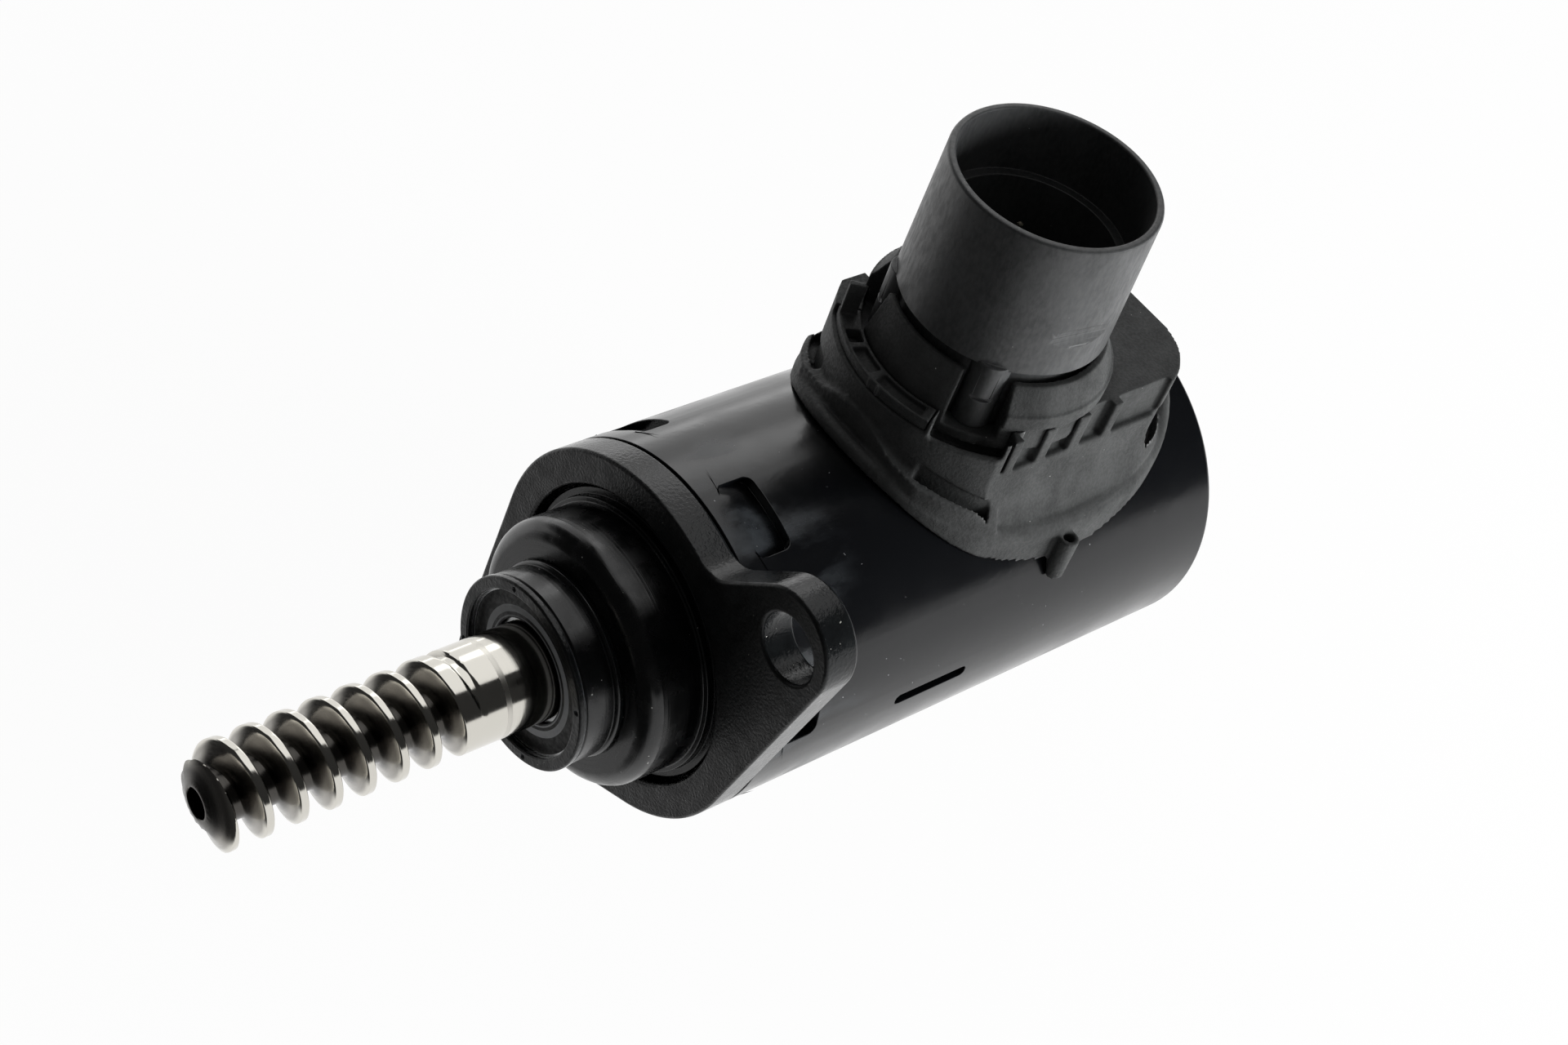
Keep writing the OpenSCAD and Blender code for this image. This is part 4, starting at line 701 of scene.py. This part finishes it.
fine_worm()
soften("motor_can", 0.12, "drawn_can")
soften("mounting_flange", 0.5, "flange_plate", 4)
soften("front_housing", 0.15, "turned_housing")
soften("nose_ring", 0.1, "retaining_ring")
mould("connector_base", 0.25, "moulded_saddle", 0.5)
mould("guide_collar", 0.2, "moulded_collar", 0.6)
mould("clip_ring", 0.15, "moulded_track")
soften("connector_sleeve", 0.12, "plug_sleeve")

# Floor, light and camera. The camera was fitted to the photograph.

LOOK_AZIMUTH = -53.4127
LOOK_ELEVATION = 43.7674
LOOK_ROLL = 21.81
CAMERA_PLACE = Vector((-167.75, -142.81, 240.31)) * MM
LENS = 58.45
# The floor's distance under the part in millimetres, and half its width in metres
FLOOR_GAP = 0.3
FLOOR_HALF = 3
# Share of white that the camera sees on the floor in full, so that the shadow stays faint
FLOOR_GLOW = 0.96
# The middle of the part, which the lamps surround
MIDDLE = Vector((12, 0, 8)) * MM
# Directions that a lamp or the world's fill light lies in
REAR = Vector((0.5, 0.8, 0.33)).normalized()
KEY = Vector((0.68, -0.72, 0.14)).normalized()
FILL = Vector((0.3, 0.9, 0.3)).normalized()
WORLD_FILL = (0.5, -0.85, -0.1)
# Radiance of the world where gloss sees it dark
DARK = 0.03
# Name, place, facing, turn in degrees, width, height, radiance, and whether only gloss sees it
LAMPS = (
    ("rear_panel", MIDDLE + REAR * 0.6, REAR, 0, 0.75, 0.5, 1.05, True),
    ("top_panel", Vector((0.26, 0.235, 0.33)), (0, 0, 1), 52.6, 0.7, 0.3, 1.1, True),
    ("key_light", MIDDLE + KEY * 0.6, KEY, 0, 0.4, 0.25, 27.0, False),
    ("back_fill", MIDDLE + FILL * 0.7, FILL, 0, 0.4, 0.4, 2.5, False),
)


def make_floor():
    # White paper sweep: the camera sees it white with a faint shadow, and gloss sees the world's white
    made, tree, shader = new_material("white_paper", "#f2f2f2", 0.9)
    shader.inputs["Specular IOR Level"].default_value = 0.0
    ray = add(tree, "ShaderNodeLightPath", out=None).outputs
    glow = add(tree, "ShaderNodeEmission", {"Color": "#ffffff", "Strength": 1.0})
    seen = add(tree, MATH, {0: ray["Is Camera Ray"], 1: FLOOR_GLOW}, operation="MULTIPLY")
    paper = add(tree, "ShaderNodeMixShader", {0: seen, 1: shader.outputs["BSDF"], 2: glow})
    mirrored = add(tree, MATH, {
        0: ray["Is Glossy Ray"], 1: ray["Is Transmission Ray"],
    }, operation="MAXIMUM")
    open_to_world = add(tree, "ShaderNodeBsdfTransparent", {"Color": "#ffffff"})
    surface = add(tree, "ShaderNodeMixShader", {0: mirrored, 1: paper, 2: open_to_world})
    tree.links.new(surface, tree.nodes["Material Output"].inputs["Surface"])
    low = cad_box[0].z - FLOOR_GAP * MM
    work = bmesh.new()
    work.faces.new([
        work.verts.new((side_x * FLOOR_HALF, side_y * FLOOR_HALF, low))
        for side_x, side_y in ((-1, -1), (1, -1), (1, 1), (-1, 1))
    ])
    mesh = bpy.data.meshes.new("floor")
    work.to_mesh(mesh)
    work.free()
    floor = link_mesh("floor", mesh)
    floor.data.materials.append(made)


def make_world():
    # A studio that the camera sees white. Gloss sees it white below the horizon, and nearly black
    # above it and towards the worm's end, where the photograph's steel and lacquer are black.
    world = bpy.data.worlds.new("studio")
    world.use_nodes = True
    tree = world.node_tree
    tree.nodes.clear()
    ray = add(tree, "ShaderNodeLightPath", out=None).outputs
    toward = add(tree, "ShaderNodeTexCoord", out="Generated")
    parts = add(tree, "ShaderNodeSeparateXYZ", {0: toward}, None).outputs
    below = add(tree, MAP, {
        "Value": parts["Z"], "From Min": 0.08, "From Max": 0.0,
    }, interpolation_type="SMOOTHSTEP")
    beside = add(tree, MAP, {
        "Value": parts["X"], "From Min": -0.62, "From Max": -0.38,
    }, interpolation_type="SMOOTHSTEP")
    table = add(tree, MATH, {0: below, 1: beside}, operation="MULTIPLY")
    strength = add(tree, MATH, {0: table, 1: 1 - DARK, 2: DARK}, operation="MULTIPLY_ADD")
    side = add(tree, "ShaderNodeVectorMath", {
        0: toward, 1: WORLD_FILL,
    }, "Value", operation="DOT_PRODUCT")
    fill = add(tree, MAP, {
        "Value": side, "From Min": -0.3, "From Max": 0.9, "To Min": 0.07, "To Max": 0.3,
    }, interpolation_type="SMOOTHSTEP")
    light = add(tree, "ShaderNodeBackground", {"Color": "#ffffff", "Strength": fill})
    white = add(tree, "ShaderNodeBackground", {"Color": "#ffffff", "Strength": 1.0})
    gloss = add(tree, "ShaderNodeBackground", {"Color": "#ffffff", "Strength": strength})
    inner = add(tree, "ShaderNodeMixShader", {0: ray["Is Glossy Ray"], 1: light, 2: gloss})
    clear = add(tree, MATH, {
        0: ray["Is Camera Ray"], 1: ray["Is Transmission Ray"],
    }, operation="MAXIMUM")
    sky = add(tree, "ShaderNodeMixShader", {0: clear, 1: inner, 2: white})
    add(tree, "ShaderNodeOutputWorld", {"Surface": sky}, None)
    bpy.context.scene.world = world


def softbox(name, place, facing, turn, width, height, radiance, mirrored):
    """An area lamp at a place, which shines against its facing. Its power follows from its size.

    The turn is in degrees, round the facing. A mirrored lamp shows in gloss and lights nothing else,
    and the others light without showing.
    """
    lamp = bpy.data.lights.new(name, "AREA")
    lamp.shape = "RECTANGLE"
    lamp.size = width
    lamp.size_y = height
    lamp.energy = radiance * math.pi * width * height
    made = bpy.data.objects.new(name, lamp)
    made.location = place
    faced = Vector(facing).to_track_quat("Z", "Y").to_matrix()
    made.rotation_euler = (faced @ Matrix.Rotation(math.radians(turn), 3, "Z")).to_euler()
    made.visible_diffuse = not mirrored
    made.visible_glossy = mirrored
    bpy.context.scene.collection.objects.link(made)


def make_camera():
    lens = bpy.data.cameras.new("camera")
    lens.lens = LENS
    lens.sensor_width = 36
    lens.clip_start = 0.01
    lens.clip_end = 20
    camera = bpy.data.objects.new("camera", lens)
    a = math.radians(LOOK_AZIMUTH)
    e = math.radians(LOOK_ELEVATION)
    back = Vector((math.sin(a) * math.cos(e), -math.cos(a) * math.cos(e), math.sin(e)))
    aimed = (-back).to_track_quat("-Z", "Y").to_matrix()
    rolled = aimed @ Matrix.Rotation(math.radians(LOOK_ROLL), 3, "Z")
    camera.matrix_world = Matrix.Translation(CAMERA_PLACE) @ rolled.to_4x4()
    bpy.context.scene.collection.objects.link(camera)
    bpy.context.scene.camera = camera


make_floor()
make_world()
for lamp in LAMPS:
    softbox(*lamp)
make_camera()

bpy.context.scene.view_settings.view_transform = "Standard"
